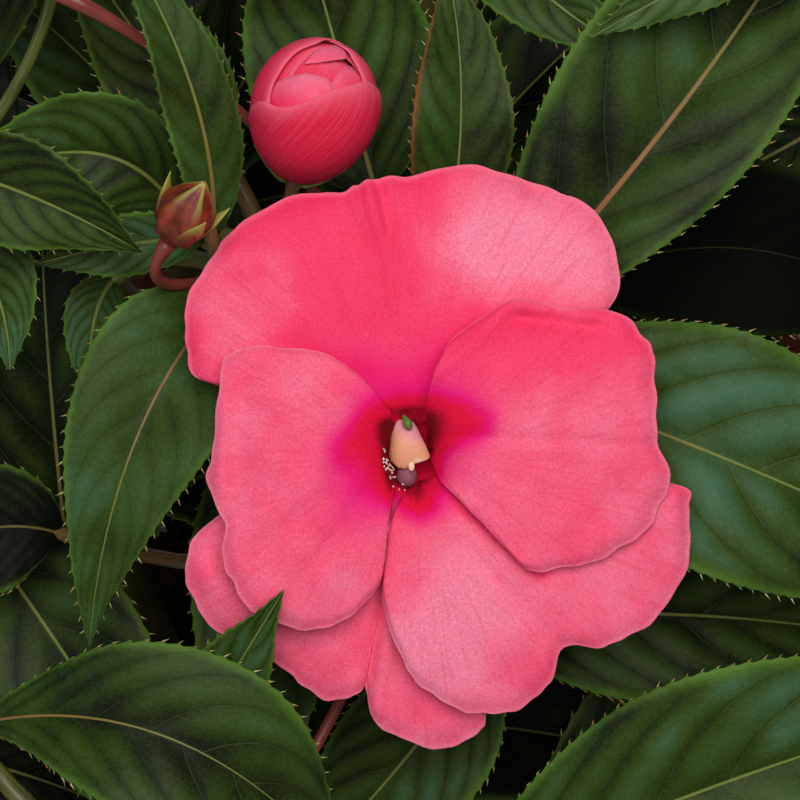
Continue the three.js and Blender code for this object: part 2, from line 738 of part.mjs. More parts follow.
function closedBud(frame, size) {
  const points = DROP.flatMap(([z, girth]) =>
    Array.from({ length: CLOSED.sides }, (_, k) => {
      const turn = (2 * Math.PI * k) / CLOSED.sides;
      const radius = CLOSED.radius * girth * (1 + CLOSED.ridge * (k % 2 ? -1 : 1)) * size;
      return inFrame(frame, [radius * Math.cos(turn), radius * Math.sin(turn), CLOSED.tall * z * size]);
    }),
  );
  const hooks = [0, 1, 2].map((k) => {
    const turn = (4 * Math.PI * k) / 5;
    const reach = CLOSED.radius * size;
    const path = [[0.66, -1.6], [1, 0.6], [1.3, 3]].map(([out, z]) =>
      inFrame(frame, [out * reach * Math.cos(turn), out * reach * Math.sin(turn), z * size]),
    );
    return tube(path, (s) => lerp(CLOSED.hook, 0.3, s) * size, 3);
  });
  return join([drum(points, CLOSED.sides), ...hooks]);
}

const budFrame = (origin, axis) => {
  const out = axis.clone().normalize();
  const right = FRONT.right.clone().addScaledVector(out, -FRONT.right.dot(out)).normalize();
  return { origin, right, up: out.clone().cross(right), out };
};
const frontWay = (right, up, out) => front([right, up, out]).sub(FRONT_THROAT);

const budOn = (name, shoot, at, kind, origin, axis, size, others) => ({
  name: `${name}_bud`,
  shoot: `${shoot}_shoot`,
  at,
  kind,
  make: kind === "opening" ? openingBud : closedBud,
  foot: kind === "opening" ? -EGG.tall : -CLOSED.tall,
  frame: budFrame(origin, axis),
  size,
  ...others,
});
const BUDS = [
  budOn("opening", "bud", 0.95, "opening", front([-11.8, 41.2, -8.6]), frontWay(0.22, 0.74, 0.64), 0.98),
  budOn("small", "bud", 0.97, "closed", front([-27, 28.4, 0.4]), frontWay(0.45, 0.65, 0.62), 0.88, {
    via: front([-30, 20, -10]),
  }),
  budOn("high", "front", 0.96, "closed", front([-47.5, 60.5, -4]), frontWay(-0.6, 0.7, 0.4), 1.05, {
    via: front([-13, 33.5, -22]),
  }),
  budOn("lower", "front", 0.92, "closed", front([-37, -66, -12]), frontWay(-0.7, -0.55, 0.42), 1, {
    via: front([-10.5, -36.5, -22]),
  }),
  budOn("back", "back", 0.97, "opening", vec(54, 98, 236), vec(0.3, 0.4, 0.85), 0.85),
  budOn("left", "far_left", 0.97, "closed", vec(-102, 44, 220), vec(-0.3, 0.3, 0.9), 1.1),
];

function budStalk(stem, bud) {
  const seat = inFrame(bud.frame, [0, 0, bud.foot * bud.size - SEAT]);
  return tube(steps(stalkPath(stem, bud, seat), 0, 1, STALK.steps), () => 0.75, STALK.sides);
}

// The pot: a tapered clay wall with a thick band at the rim, and drain holes round its foot.
function potSolid() {
  const { height, rim, body, foot, band, wall, floor, sides } = POT;
  const profile = [
    [0, 0], [foot - 2, 0], [foot, 2], [body, height - band], [rim - 1, height - band],
    [rim, height - 2], [rim - 2, height], [rim - wall - 1, height],
    [body - wall + 0.5, height - band], [foot - wall, floor], [0, floor],
  ].map(([r, z]) => new THREE.Vector2(r, z));
  const walls = solidOf(new THREE.LatheGeometry(profile, sides).rotateX(Math.PI / 2));
  const drills = Array.from({ length: DRAIN.count }, (_, k) => {
    const turn = (2 * Math.PI * k) / DRAIN.count;
    const drill = new THREE.CylinderGeometry(DRAIN.radius, DRAIN.radius, 3 * floor, DRAIN.sides);
    drill.rotateX(Math.PI / 2);
    return solidOf(drill.translate(DRAIN.ring * Math.cos(turn), DRAIN.ring * Math.sin(turn), 0));
  });
  return drills.reduce((pot, drill) => pot.subtract(drill), walls);
}

const potInside = (z) => {
  const { height, body, foot, band, wall, floor } = POT;
  const share = (z - floor) / (height - band - floor);
  return lerp(foot - wall, body - wall + 0.5, share);
};

// The height of the mix at a place: a low dome with lumps.
function mixTop(r, turn) {
  const bumps = Math.sin(0.31 * r + 5 * turn) + Math.sin(0.23 * r - 8 * turn + 1);
  return MIX.top + (MIX.lump * bumps) / 2 - 6 * (r / POT.body) ** 2;
}

// The potting mix: a plug that fills the pot, lumpy on top, with a plain hole for each stem.
function mixSolid() {
  const { top, bottom, gap, rings, sides } = MIX;
  const rimTop = Math.min(top, POT.height - POT.band);
  const edge = potInside(rimTop) - gap;
  const points = [vec(0, 0, top)];
  for (let j = 1; j <= rings; j++)
    for (let k = 0; k < sides; k++) {
      const turn = (2 * Math.PI * (k + (j % 2) / 2)) / sides;
      const r = (edge * j) / rings;
      const z = j === rings ? rimTop : mixTop(r, turn);
      points.push(vec(r * Math.cos(turn), r * Math.sin(turn), z));
    }
  const floor = points.length;
  for (let k = 0; k < sides; k++) {
    const turn = (2 * Math.PI * (k + (rings % 2) / 2)) / sides;
    const r = potInside(bottom) - gap;
    points.push(vec(r * Math.cos(turn), r * Math.sin(turn), bottom));
  }
  const base = points.push(vec(0, 0, bottom)) - 1;
  const onRing = (j, k) => 1 + (j - 1) * sides + (k % sides);
  const triangles = [];
  for (let k = 0; k < sides; k++) {
    triangles.push([0, onRing(1, k), onRing(1, k + 1)]);
    for (let j = 1; j < rings; j++) {
      triangles.push([onRing(j, k), onRing(j + 1, k), onRing(j + 1, k + 1)]);
      triangles.push([onRing(j, k), onRing(j + 1, k + 1), onRing(j, k + 1)]);
    }
    const [low, lowNext] = [floor + k, floor + ((k + 1) % sides)];
    triangles.push([onRing(rings, k), low, lowNext]);
    triangles.push([onRing(rings, k), lowNext, onRing(rings, k + 1)]);
    triangles.push([base, lowNext, low]);
  }
  return solid(points, triangles);
}

// The space in front of the front bloom, which no leaf by rule may enter.
function openView() {
  const size = { wide: 104, tall: 104, deep: 140 };
  const box = new THREE.BoxGeometry(size.wide, size.tall, size.deep);
  const turn = new THREE.Matrix4().makeBasis(FRONT.right, FRONT.up, FRONT.out);
  const middle = front([-1, 5.5, size.deep / 2 - 19]);
  return solidOf(box.applyMatrix4(turn.setPosition(middle)));
}

// Everything is grown in order: stems, blooms, buds, front leaves, then leaves by rule.
const grown = SHOOTS.map((shoot) => ({ ...shoot, stem: stemOf(shoot), pieces: [] }));
const shootNamed = (name) => grown.find((shoot) => shoot.name === name);
const taken = [{ owner: "view", piece: openView() }];
const take = (owner, piece) => taken.push({ owner, piece });
const nodes = [];

for (const shoot of grown) {
  const stem = tube(steps(shoot.stem.path, 0, 1, STEM.steps), stemRadius, STEM.sides);
  shoot.pieces.push(stem);
  take(shoot.name, stem);
}

for (const bloom of BLOOMS) {
  const petals = join([cup(bloom), spur(bloom), ...PETALS.map((shape) => petal(bloom, shape))]);
  nodes.push({ name: bloom.name, solid: petals, look: "petal" });
  nodes.push({ name: bloom.name.replace("bloom", "column"), solid: column(bloom), look: "column" });
  take(bloom.name, petals);
  const { stem, pieces } = shootNamed(bloom.shoot);
  const stalk = flowerStalk(stem, bloom);
  pieces.push(...stalk);
  stalk.forEach((piece) => take(`${bloom.shoot} stalk`, piece));
}

for (const bud of BUDS) {
  const made = bud.make(bud.frame, bud.size);
  nodes.push({ name: bud.name, solid: made, look: bud.kind === "opening" ? "petal" : "bud" });
  take(bud.name, made);
  const { stem, pieces } = shootNamed(bud.shoot);
  const stalk = budStalk(stem, bud);
  pieces.push(stalk);
  take(`${bud.shoot} stalk`, stalk);
}

for (const shoot of grown)
  for (const given of shoot.leaves) {
    const leaf = frontLeaf(given);
    const made = leafSolid(leaf, shoot.stem);
    shoot.pieces.push(made);
    take(`${shoot.name} leaf`, made);
  }

// A leaf by rule keeps this much room on each of its faces, and its stalk this much all round.
const SPARE = 0.7;
const CLEAR = 0.35;
const meets = (a, b) => !a.intersect(b).isEmpty();
const crowds = (a, b) => a.minGap(b, 2 * CLEAR) < CLEAR;

const choices = SIZES.flatMap((scale) =>
  TURNS.flatMap((turn) => LEANS.map((lean) => ({ lean, turn, scale }))),
);

for (const shoot of grown)
  for (let i = 0; i < shoot.rule.count; i++)
    for (const choice of choices) {
      const leaf = ruleLeaf(shoot.stem, shoot.rule, i, choice);
      const made = leafSolid(leaf, shoot.stem);
      const tried = leafSolid(leaf, null, SPARE);
      const blocked = taken.some(({ owner, piece }) => {
        const own = owner.startsWith(shoot.name);
        return meets(tried, piece) || (!own && crowds(made, piece));
      });
      if (blocked) continue;
      shoot.pieces.push(made);
      take(`${shoot.name} leaf`, made);
      break;
    }

// Finishes: the colour, roughness and metalness of each kind of surface.
const LOOKS = {
  clay: { color: 0xb5643c, roughness: 0.85, metalness: 0 },
  mix: { color: 0x2e2118, roughness: 0.95, metalness: 0 },
  leaf: { color: 0x3b5228, roughness: 0.5, metalness: 0 },
  petal: { color: 0xf0567a, roughness: 0.55, metalness: 0 },
  column: { color: 0xf0c0a4, roughness: 0.5, metalness: 0 },
  bud: { color: 0x8a2f24, roughness: 0.5, metalness: 0 },
};

function meshOf(name, made, look) {
  const { vertProperties, triVerts, numProp } = made.getMesh();
  const geometry = new THREE.BufferGeometry();
  if (numProp !== 3) throw new Error(`${name} carries more than positions`);
  geometry.setAttribute("position", new THREE.BufferAttribute(vertProperties, 3));
  geometry.setIndex(new THREE.BufferAttribute(triVerts, 1));
  geometry.computeVertexNormals();
  const mesh = new THREE.Mesh(geometry, new THREE.MeshStandardMaterial(LOOKS[look]));
  mesh.name = name;
  return mesh;
}

const pot = potSolid();
const holes = grown.map(({ stem }) => {
  const [low, high] = [through(stem.path, 0), through(stem.path, 1 / STEM.steps)];
  const path = [low.clone().lerp(high, -0.03), high];
  return tube(path, (s) => stemRadius(s / STEM.steps) + STEM.slack, STEM.sides);
});
const mix = holes.reduce((body, hole) => body.subtract(hole), mixSolid());

const plant = new THREE.Group();
plant.add(meshOf("pot", pot, "clay"));
plant.add(meshOf("potting_mix", largest(mix), "mix"));
for (const { name, pieces } of grown) plant.add(meshOf(name, largest(join(pieces)), "leaf"));
for (const node of nodes) plant.add(meshOf(node.name, largest(node.solid), node.look));

export default plant;
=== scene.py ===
"""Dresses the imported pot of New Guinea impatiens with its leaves, petals, buds, soil and clay.

Lengths are millimetres, in the frame of the part, until a mesh is made of them. A bloom's or
bud's own points are given as right, up and out from the place where it stands.
"""

import logging
import math
from collections.abc import Callable, Iterable, Sequence
from dataclasses import dataclass, field
from enum import Enum
from functools import partial

import bpy
import numpy as np
from mathutils import Matrix, Vector


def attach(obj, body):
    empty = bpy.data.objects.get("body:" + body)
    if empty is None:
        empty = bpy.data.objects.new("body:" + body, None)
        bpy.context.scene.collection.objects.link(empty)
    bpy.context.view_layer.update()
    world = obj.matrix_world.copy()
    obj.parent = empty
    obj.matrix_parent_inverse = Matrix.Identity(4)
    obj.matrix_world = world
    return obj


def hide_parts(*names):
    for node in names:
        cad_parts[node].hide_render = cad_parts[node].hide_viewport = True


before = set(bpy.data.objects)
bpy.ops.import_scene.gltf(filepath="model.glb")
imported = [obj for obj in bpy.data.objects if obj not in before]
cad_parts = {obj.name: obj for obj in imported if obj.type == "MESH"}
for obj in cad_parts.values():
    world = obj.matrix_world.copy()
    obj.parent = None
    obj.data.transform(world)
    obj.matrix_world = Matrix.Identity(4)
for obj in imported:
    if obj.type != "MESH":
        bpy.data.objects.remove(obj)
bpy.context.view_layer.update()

log = logging.getLogger("impatiens")
MM = 0.001
WORLD_UP = np.array([0.0, 0.0, 1.0])
FULL_TURN = 2 * np.pi

Array, Random = np.ndarray, np.random.Generator
Piece, Material = bpy.types.Object, bpy.types.Material
Tree, Node, Socket = bpy.types.NodeTree, bpy.types.Node, bpy.types.NodeSocket
Spot = tuple[float, float]
Place = tuple[float, float, float]
# A closed surface is its points and its faces, and a tube also has three facts for each point.
Surface = tuple[Array, list[Array]]
Tube = tuple[Array, list[Array], Array]


# Plain geometry.


def unit(vectors: Array) -> Array:
    """Vectors scaled to a length of one."""
    return vectors / np.linalg.norm(vectors, axis=-1, keepdims=True)


def smooth(value: Array | float, low: float, high: float) -> Array:
    """A soft step from 0 at low to 1 at high."""
    share = np.clip((np.asarray(value, float) - low) / (high - low), 0, 1)
    return share * share * (3 - 2 * share)


def columns(*parts: Array | float) -> Array:
    """Numbers for the same places set side by side, with a row of them for each place."""
    return np.stack(np.broadcast_arrays(*parts), axis=-1)


def listed(*parts: Array) -> Array:
    """The points or facts of some grids in one list, a row of three for each point."""
    return np.concatenate([part.reshape(-1, 3) for part in parts])


def even_fact(points: Array, *fact: float) -> Array:
    """The same three numbers for each of some points."""
    return np.ones((len(points), 1)) * fact


def through(curve: Array, s: Array | float) -> Array:
    """Points on the quadratic through a start, a middle and an end.

    Args:
        curve: the three points, one a row.
        s: the places along it, from 0 to 1.

    Returns:
        A point for each place.
    """
    s = np.asarray(s, float)[..., None]
    start, middle, end = curve
    return (1 - s) * (1 - 2 * s) * start + 4 * s * (1 - s) * middle + s * (2 * s - 1) * end


def slope(curve: Array, s: Array | float) -> Array:
    """The direction and speed of that quadratic at some places along it."""
    s = np.asarray(s, float)[..., None]
    start, middle, end = curve
    return (4 * s - 3) * start + (4 - 8 * s) * middle + (4 * s - 1) * end


def spline(points: Array, u: Array) -> Array:
    """Points on the smooth open curve through a row of points.

    Args:
        points: the points that it passes, one a row.
        u: the places along it, from 0 at the first to 1 at the last.

    Returns:
        A point for each place.
    """
    last = len(points) - 1
    at = np.clip(u, 0, 0.999999) * last
    i = np.floor(at).astype(int)
    f = (at - i)[:, None]
    p, q, r, s = (points[np.clip(i + k, 0, last)] for k in (-1, 0, 1, 2))
    cubic = 3 * q - p - 3 * r + s
    return 0.5 * (2 * q + (r - p) * f + (2 * p - 5 * q + 4 * r - s) * f**2 + cubic * f**3)


@dataclass(frozen=True)
class Stance:
    """Where a bloom or bud stands: its origin, and its right, up and outward directions."""

    origin: Array
    right: Array
    up: Array
    out: Array

    def way(self, local: Array | Sequence[float]) -> Array:
        """Turns directions given as right, up and out into directions of the part."""
        return np.asarray(local, float) @ np.stack([self.right, self.up, self.out])

    def place(self, local: Array | Sequence[float]) -> Array:
        """Turns points given as right, up and out into points of the part."""
        return self.origin + self.way(local)

    @classmethod
    def facing(cls, origin: Sequence[float], azimuth: float, rise: float, spin: float = 0) -> "Stance":
        """A stance that looks along an azimuth and up by a rise, spun about that line, in degrees.

        Args:
            origin: where it stands.
            azimuth: the way that it looks, round the part.
            rise: how far it looks up.
            spin: how far it is spun.

        Returns:
            The stance.
        """
        a, e, t = (math.radians(x) for x in (azimuth, rise, spin))
        out = np.array([math.cos(a) * math.cos(e), math.sin(a) * math.cos(e), math.sin(e)])
        flat = np.array([-math.sin(a), math.cos(a), 0])
        right = flat * math.cos(t) + np.cross(out, flat) * math.sin(t)
        return cls(np.asarray(origin, float), right, np.cross(out, right), out)

    @classmethod
    def along(cls, origin: Array, axis: Array) -> "Stance":
        """The stance of a bud, whose outward direction is its axis.

        Args:
            origin: where the bud stands.
            axis: the way that it points.

        Returns:
            The stance.
        """
        out = unit(np.asarray(axis, float))
        right = unit(FRONT.right - out * (FRONT.right @ out))
        return cls(np.asarray(origin, float), right, np.cross(out, right), out)


TILT = math.radians(55)
FRONT = Stance(
    origin=np.array([0.0, -58.0, 240.0]),
    right=np.array([1.0, 0.0, 0.0]),
    up=np.array([0.0, math.sin(TILT), math.cos(TILT)]),
    out=np.array([0.0, -math.cos(TILT), math.sin(TILT)]),
)


def grid(rows: int, wide: int, start: int = 0) -> Array:
    """The four-sided faces of a grid of points, given row by row from a first index."""
    index = start + np.arange(rows * wide).reshape(rows, wide)
    corners = (index[:-1, :-1], index[:-1, 1:], index[1:, 1:], index[1:, :-1])
    return np.stack([c.ravel() for c in corners], axis=1)


def strip(first: Array, second: Array) -> Array:
    """The four-sided faces between two lines with the same number of points."""
    return np.stack([first[:-1], first[1:], second[1:], second[:-1]], axis=1)


def fan(pole: int, line: Array) -> Array:
    """The triangles between one point and a line of points."""
    return np.stack([np.full(len(line) - 1, pole), line[:-1], line[1:]], axis=1)


def with_caps(rings: Array) -> Array:
    """The points or facts of rings, with those of the middles of the first and last ring."""
    return listed(rings, rings[[0, -1]].mean(axis=1))


def capped(rings: Array) -> Surface:
    """The points and faces of a closed lump from its rings of points, capped at both ends.

    Args:
        rings: the grid of points, one ring a row.

    Returns:
        Its points and faces.
    """
    rows, sides = rings.shape[:2]
    index = np.arange(rows * sides).reshape(rows, sides)
    index = np.concatenate([index, index[:, :1]], axis=1)
    walls = [strip(index[j], index[j + 1]) for j in range(rows - 1)]
    caps = [fan(rows * sides, index[0][::-1]), fan(rows * sides + 1, index[-1])]
    return with_caps(rings), [np.concatenate(walls), np.concatenate(caps)]


def volume(points: Array, faces: Iterable[Array]) -> float:
    """The signed volume that closed faces hold, positive where they face outwards.

    Args:
        points: the points.
        faces: groups of faces with the same number of corners.

    Returns:
        The volume, in cubic millimetres.
    """
    total = 0.0
    for group in faces:
        for k in range(1, group.shape[1] - 1):
            a, b, c = (points[group[:, i]] for i in (0, k, k + 1))
            total += float(np.einsum("ij,ij->", a, np.cross(b, c)))
    return total / 6


class Draft:
    """Gathers closed surfaces and their point attributes into one piece."""

    def __init__(self) -> None:
        """Starts with no surface."""
        self.points: list[Array] = []
        self.faces: list[Array] = []
        self.slots: list[Array] = []
        self.facts: dict[str, list[Array]] = {}
        self.count = 0

    def add(self, points: Array, faces: list[Array], slot: int = 0, **facts: Array) -> None:
        """Adds one closed surface, turned to face outwards.

        Args:
            points: its points, in millimetres.
            faces: groups of faces with the same number of corners.
            slot: which of the piece's materials it takes.
            facts: attributes of its points, three numbers a point.
        """
        points = points.reshape(-1, 3)
        turn = -1 if volume(points, faces) < 0 else 1
        for group in faces:
            self.faces.append(group[:, ::turn] + self.count)
            self.slots.append(np.full(len(group), slot))
        for name in set(facts) | set(self.facts):
            rows = self.facts.setdefault(name, [np.zeros((self.count, 3))] if self.count else [])
            given = facts.get(name)
            rows.append(np.zeros((len(points), 3)) if given is None else given.reshape(-1, 3))
        self.points.append(points)
        self.count += len(points)

    def make(self, name: str, *materials: Material) -> Piece:
        """Makes the piece's object, with smooth faces.

        Args:
            name: the piece's name.
            materials: the finishes, in the order of their slots.

        Returns:
            The object, linked into the scene.
        """
        mesh = bpy.data.meshes.new(name)
        points = np.concatenate(self.points) * MM
        mesh.vertices.add(len(points))
        mesh.vertices.foreach_set("co", points.astype(np.float32).ravel())
        sizes = np.concatenate([np.full(len(f), f.shape[1]) for f in self.faces] or [np.zeros(0, int)])
        if len(sizes):
            corners = np.concatenate([f.ravel() for f in self.faces])
            mesh.loops.add(len(corners))
            mesh.loops.foreach_set("vertex_index", corners.astype(np.int32))
            mesh.polygons.add(len(sizes))
            mesh.polygons.foreach_set("loop_start", (np.cumsum(sizes) - sizes).astype(np.int32))
            mesh.polygons.foreach_set("material_index", np.concatenate(self.slots).astype(np.int32))
            mesh.polygons.foreach_set("use_smooth", np.ones(len(sizes), bool))
        for fact, rows in self.facts.items():
            attribute = mesh.attributes.new(fact, "FLOAT_VECTOR", "POINT")
            attribute.data.foreach_set("vector", np.concatenate(rows).astype(np.float32).ravel())
        mesh.update(calc_edges=True)
        for material in materials:
            mesh.materials.append(material)
        made = bpy.data.objects.new(name, mesh)
        bpy.context.scene.collection.objects.link(made)
        return made


def tube(
    path: Array, radii: Array, sides: int, flatten: float = 1, across: Array | None = None
) -> Tube:
    """A closed tube along a row of points.

    Args:
        path: the points of its middle line.
        radii: its radius at each of them.
        sides: how many points go round it.
        flatten: how deep it is for its width.
        across: the direction that its width starts in.

    Returns:
        Its points, its faces, and for each point the share along it, the turn round it and 0.
    """
    ways = unit(np.gradient(path, axis=0))
    seed = across if across is not None else np.eye(3)[0 if abs(ways[0][0]) < 0.8 else 1]
    turns = np.arange(sides) * FULL_TURN / sides
    rings = []
    for point, way, radius in zip(path, ways, radii):
        seed = unit(seed - way * (seed @ way))
        other = np.cross(way, seed) * flatten
        rings.append(point + radius * (np.cos(turns)[:, None] * seed + np.sin(turns)[:, None] * other))
    points, faces = capped(np.array(rings))
    share = np.repeat(np.linspace(0, 1, len(path)), sides)
    facts = columns(share, np.tile(turns / FULL_TURN, len(path)), 0.0)
    return points, faces, np.concatenate([facts, [[0, 0, 0], [1, 0, 0]]])


def shell(
    over: Array, under: Array, first: Array | None = None, last: Array | None = None
) -> Surface:
    """A thin closed sheet from the grids of its two faces.

    Args:
        over: the grid of its upper face, as rows of points.
        under: the grid of its lower face, with as many rows and as many or fewer columns.
        first: the point that both grids run to before their first row, if they do, or a point
            for each of them.
        last: the point that both grids run to after their last row, if they do.

    Returns:
        Its points and faces.
    """
    rows, wide = over.shape[:2]
    narrow = under.shape[1]
    poles = [pole for pole in (first, last) if pole is not None]
    points = listed(over, under, *poles)
    above = np.arange(rows * wide).reshape(rows, wide)
    below = rows * wide + np.arange(rows * narrow).reshape(rows, narrow)
    quads = [grid(rows, wide), grid(rows, narrow, rows * wide)[:, ::-1]]
    quads += [strip(above[:, 0], below[:, 0]), strip(below[:, -1], above[:, -1])]
    triangles = []
    pole = rows * (wide + narrow)
    for point, row, way in ((first, 0, -1), (last, -1, 1)):
        if point is not None:
            low = pole + point.size // 3 - 1
            triangles += [fan(pole, above[row][::way]), fan(low, below[row][::-way])]
            for corner in ((above[row][0], below[row][0], low), (low, below[row][-1], above[row][-1])):
                line = np.array([i for i in corner if i != pole])
                triangles.append(fan(pole, line[::-way]))
            pole = low + 1
        elif wide == narrow:
            quads.append(strip(below[row][::-way], above[row][::-way]))
    return points, [np.concatenate(quads)] + ([np.concatenate(triangles)] if triangles else [])


# Finishes.


def linear(colour: str) -> tuple[float, float, float, float]:
    """Turns an sRGB hex colour into the linear colour that a shader takes.

    Args:
        colour: the colour, such as #FF8000.

    Returns:
        Its red, green, blue and alpha.
    """
    channels = [int(colour[i : i + 2], 16) / 255 for i in (1, 3, 5)]
    straight = [c / 12.92 if c <= 0.04045 else ((c + 0.055) / 1.055) ** 2.4 for c in channels]
    return (*straight, 1.0)


def add_node(tree: Tree, kind: str, links: dict | None = None, **settings) -> Node:
    """Adds a node with its settings and links.

    Args:
        tree: the tree that it goes into.
        kind: its type name, which a shader's node may give without its first words.
        links: for each input, by name or number, a value, a node or one of a node's outputs.
        settings: its properties, and as ramp the places and colours of a colour ramp.

    Returns:
        The node.
    """
    node = tree.nodes.new(kind if "Node" in kind else f"ShaderNode{kind}")
    for name, value in settings.items():
        if name == "ramp":
            for _ in value[2:]:
                node.color_ramp.elements.new(1.0)
            for element, (place, colour) in zip(node.color_ramp.elements, value):
                element.position, element.color = place, linear(colour)
        else:
            setattr(node, name, value)
    for key, value in (links or {}).items():
        socket = node.inputs[key] if isinstance(key, int) else None
        socket = socket or next(s for s in node.inputs if s.name == key and s.enabled)
        if isinstance(value, Node):
            value = next(s for s in value.outputs if s.enabled)
        if isinstance(value, Socket):
            tree.links.new(value, socket)
        else:
            socket.default_value = linear(value) if isinstance(value, str) and value[:1] == "#" else value
    return node


def per_mm(size: float) -> float:
    """The scale that makes a pattern's cells a number of millimetres wide."""
    return 1000 / size


Adder = Callable[..., Node]


@dataclass
class Coat:
    """What a finish paints: a colour, and where it has them a roughness and a relief."""

    colour: Node
    roughness: Node | None = None
    height: Node | None = None
    relief: float = 0.1
    strength: float = 0.6


class Finish:
    """A surface finish: even values for the shader, and a pattern painted by its own nodes."""

    name: str
    even: dict[str, float | str | tuple]

    def paint(self, add: Adder, where: Socket) -> Coat:
        """Paints the pattern.

        Args:
            add: adds a node to the material's tree.
            where: the place on the part, in metres.

        Returns:
            The colour, roughness and relief that it gives.
        """
        raise NotImplementedError

    def build(self) -> Material:
        """Builds the material.

        Returns:
            The material.
        """
        material = bpy.data.materials.new(self.name)
        material.use_nodes = True
        tree = material.node_tree
        shader = tree.nodes["Principled BSDF"]
        for key, value in self.even.items():
            shader.inputs[key].default_value = linear(value) if isinstance(value, str) else value
        add = partial(add_node, tree)
        coat = self.paint(add, add("TexCoord").outputs["Object"])
        ends = {"Base Color": coat.colour, "Roughness": coat.roughness}
        if coat.height:
            bump = {"Height": coat.height, "Distance": coat.relief * MM, "Strength": coat.strength}
            ends["Normal"] = add("Bump", bump)
        for name, node in ends.items():
            if node:
                tree.links.new(next(s for s in node.outputs if s.enabled), shader.inputs[name])
        return material


def parts_of(add: Adder, fact: str) -> bpy.types.NodeOutputs:
    """The three numbers that a point attribute holds."""
    return add("SeparateXYZ", {0: add("Attribute", attribute_name=fact).outputs["Vector"]}).outputs


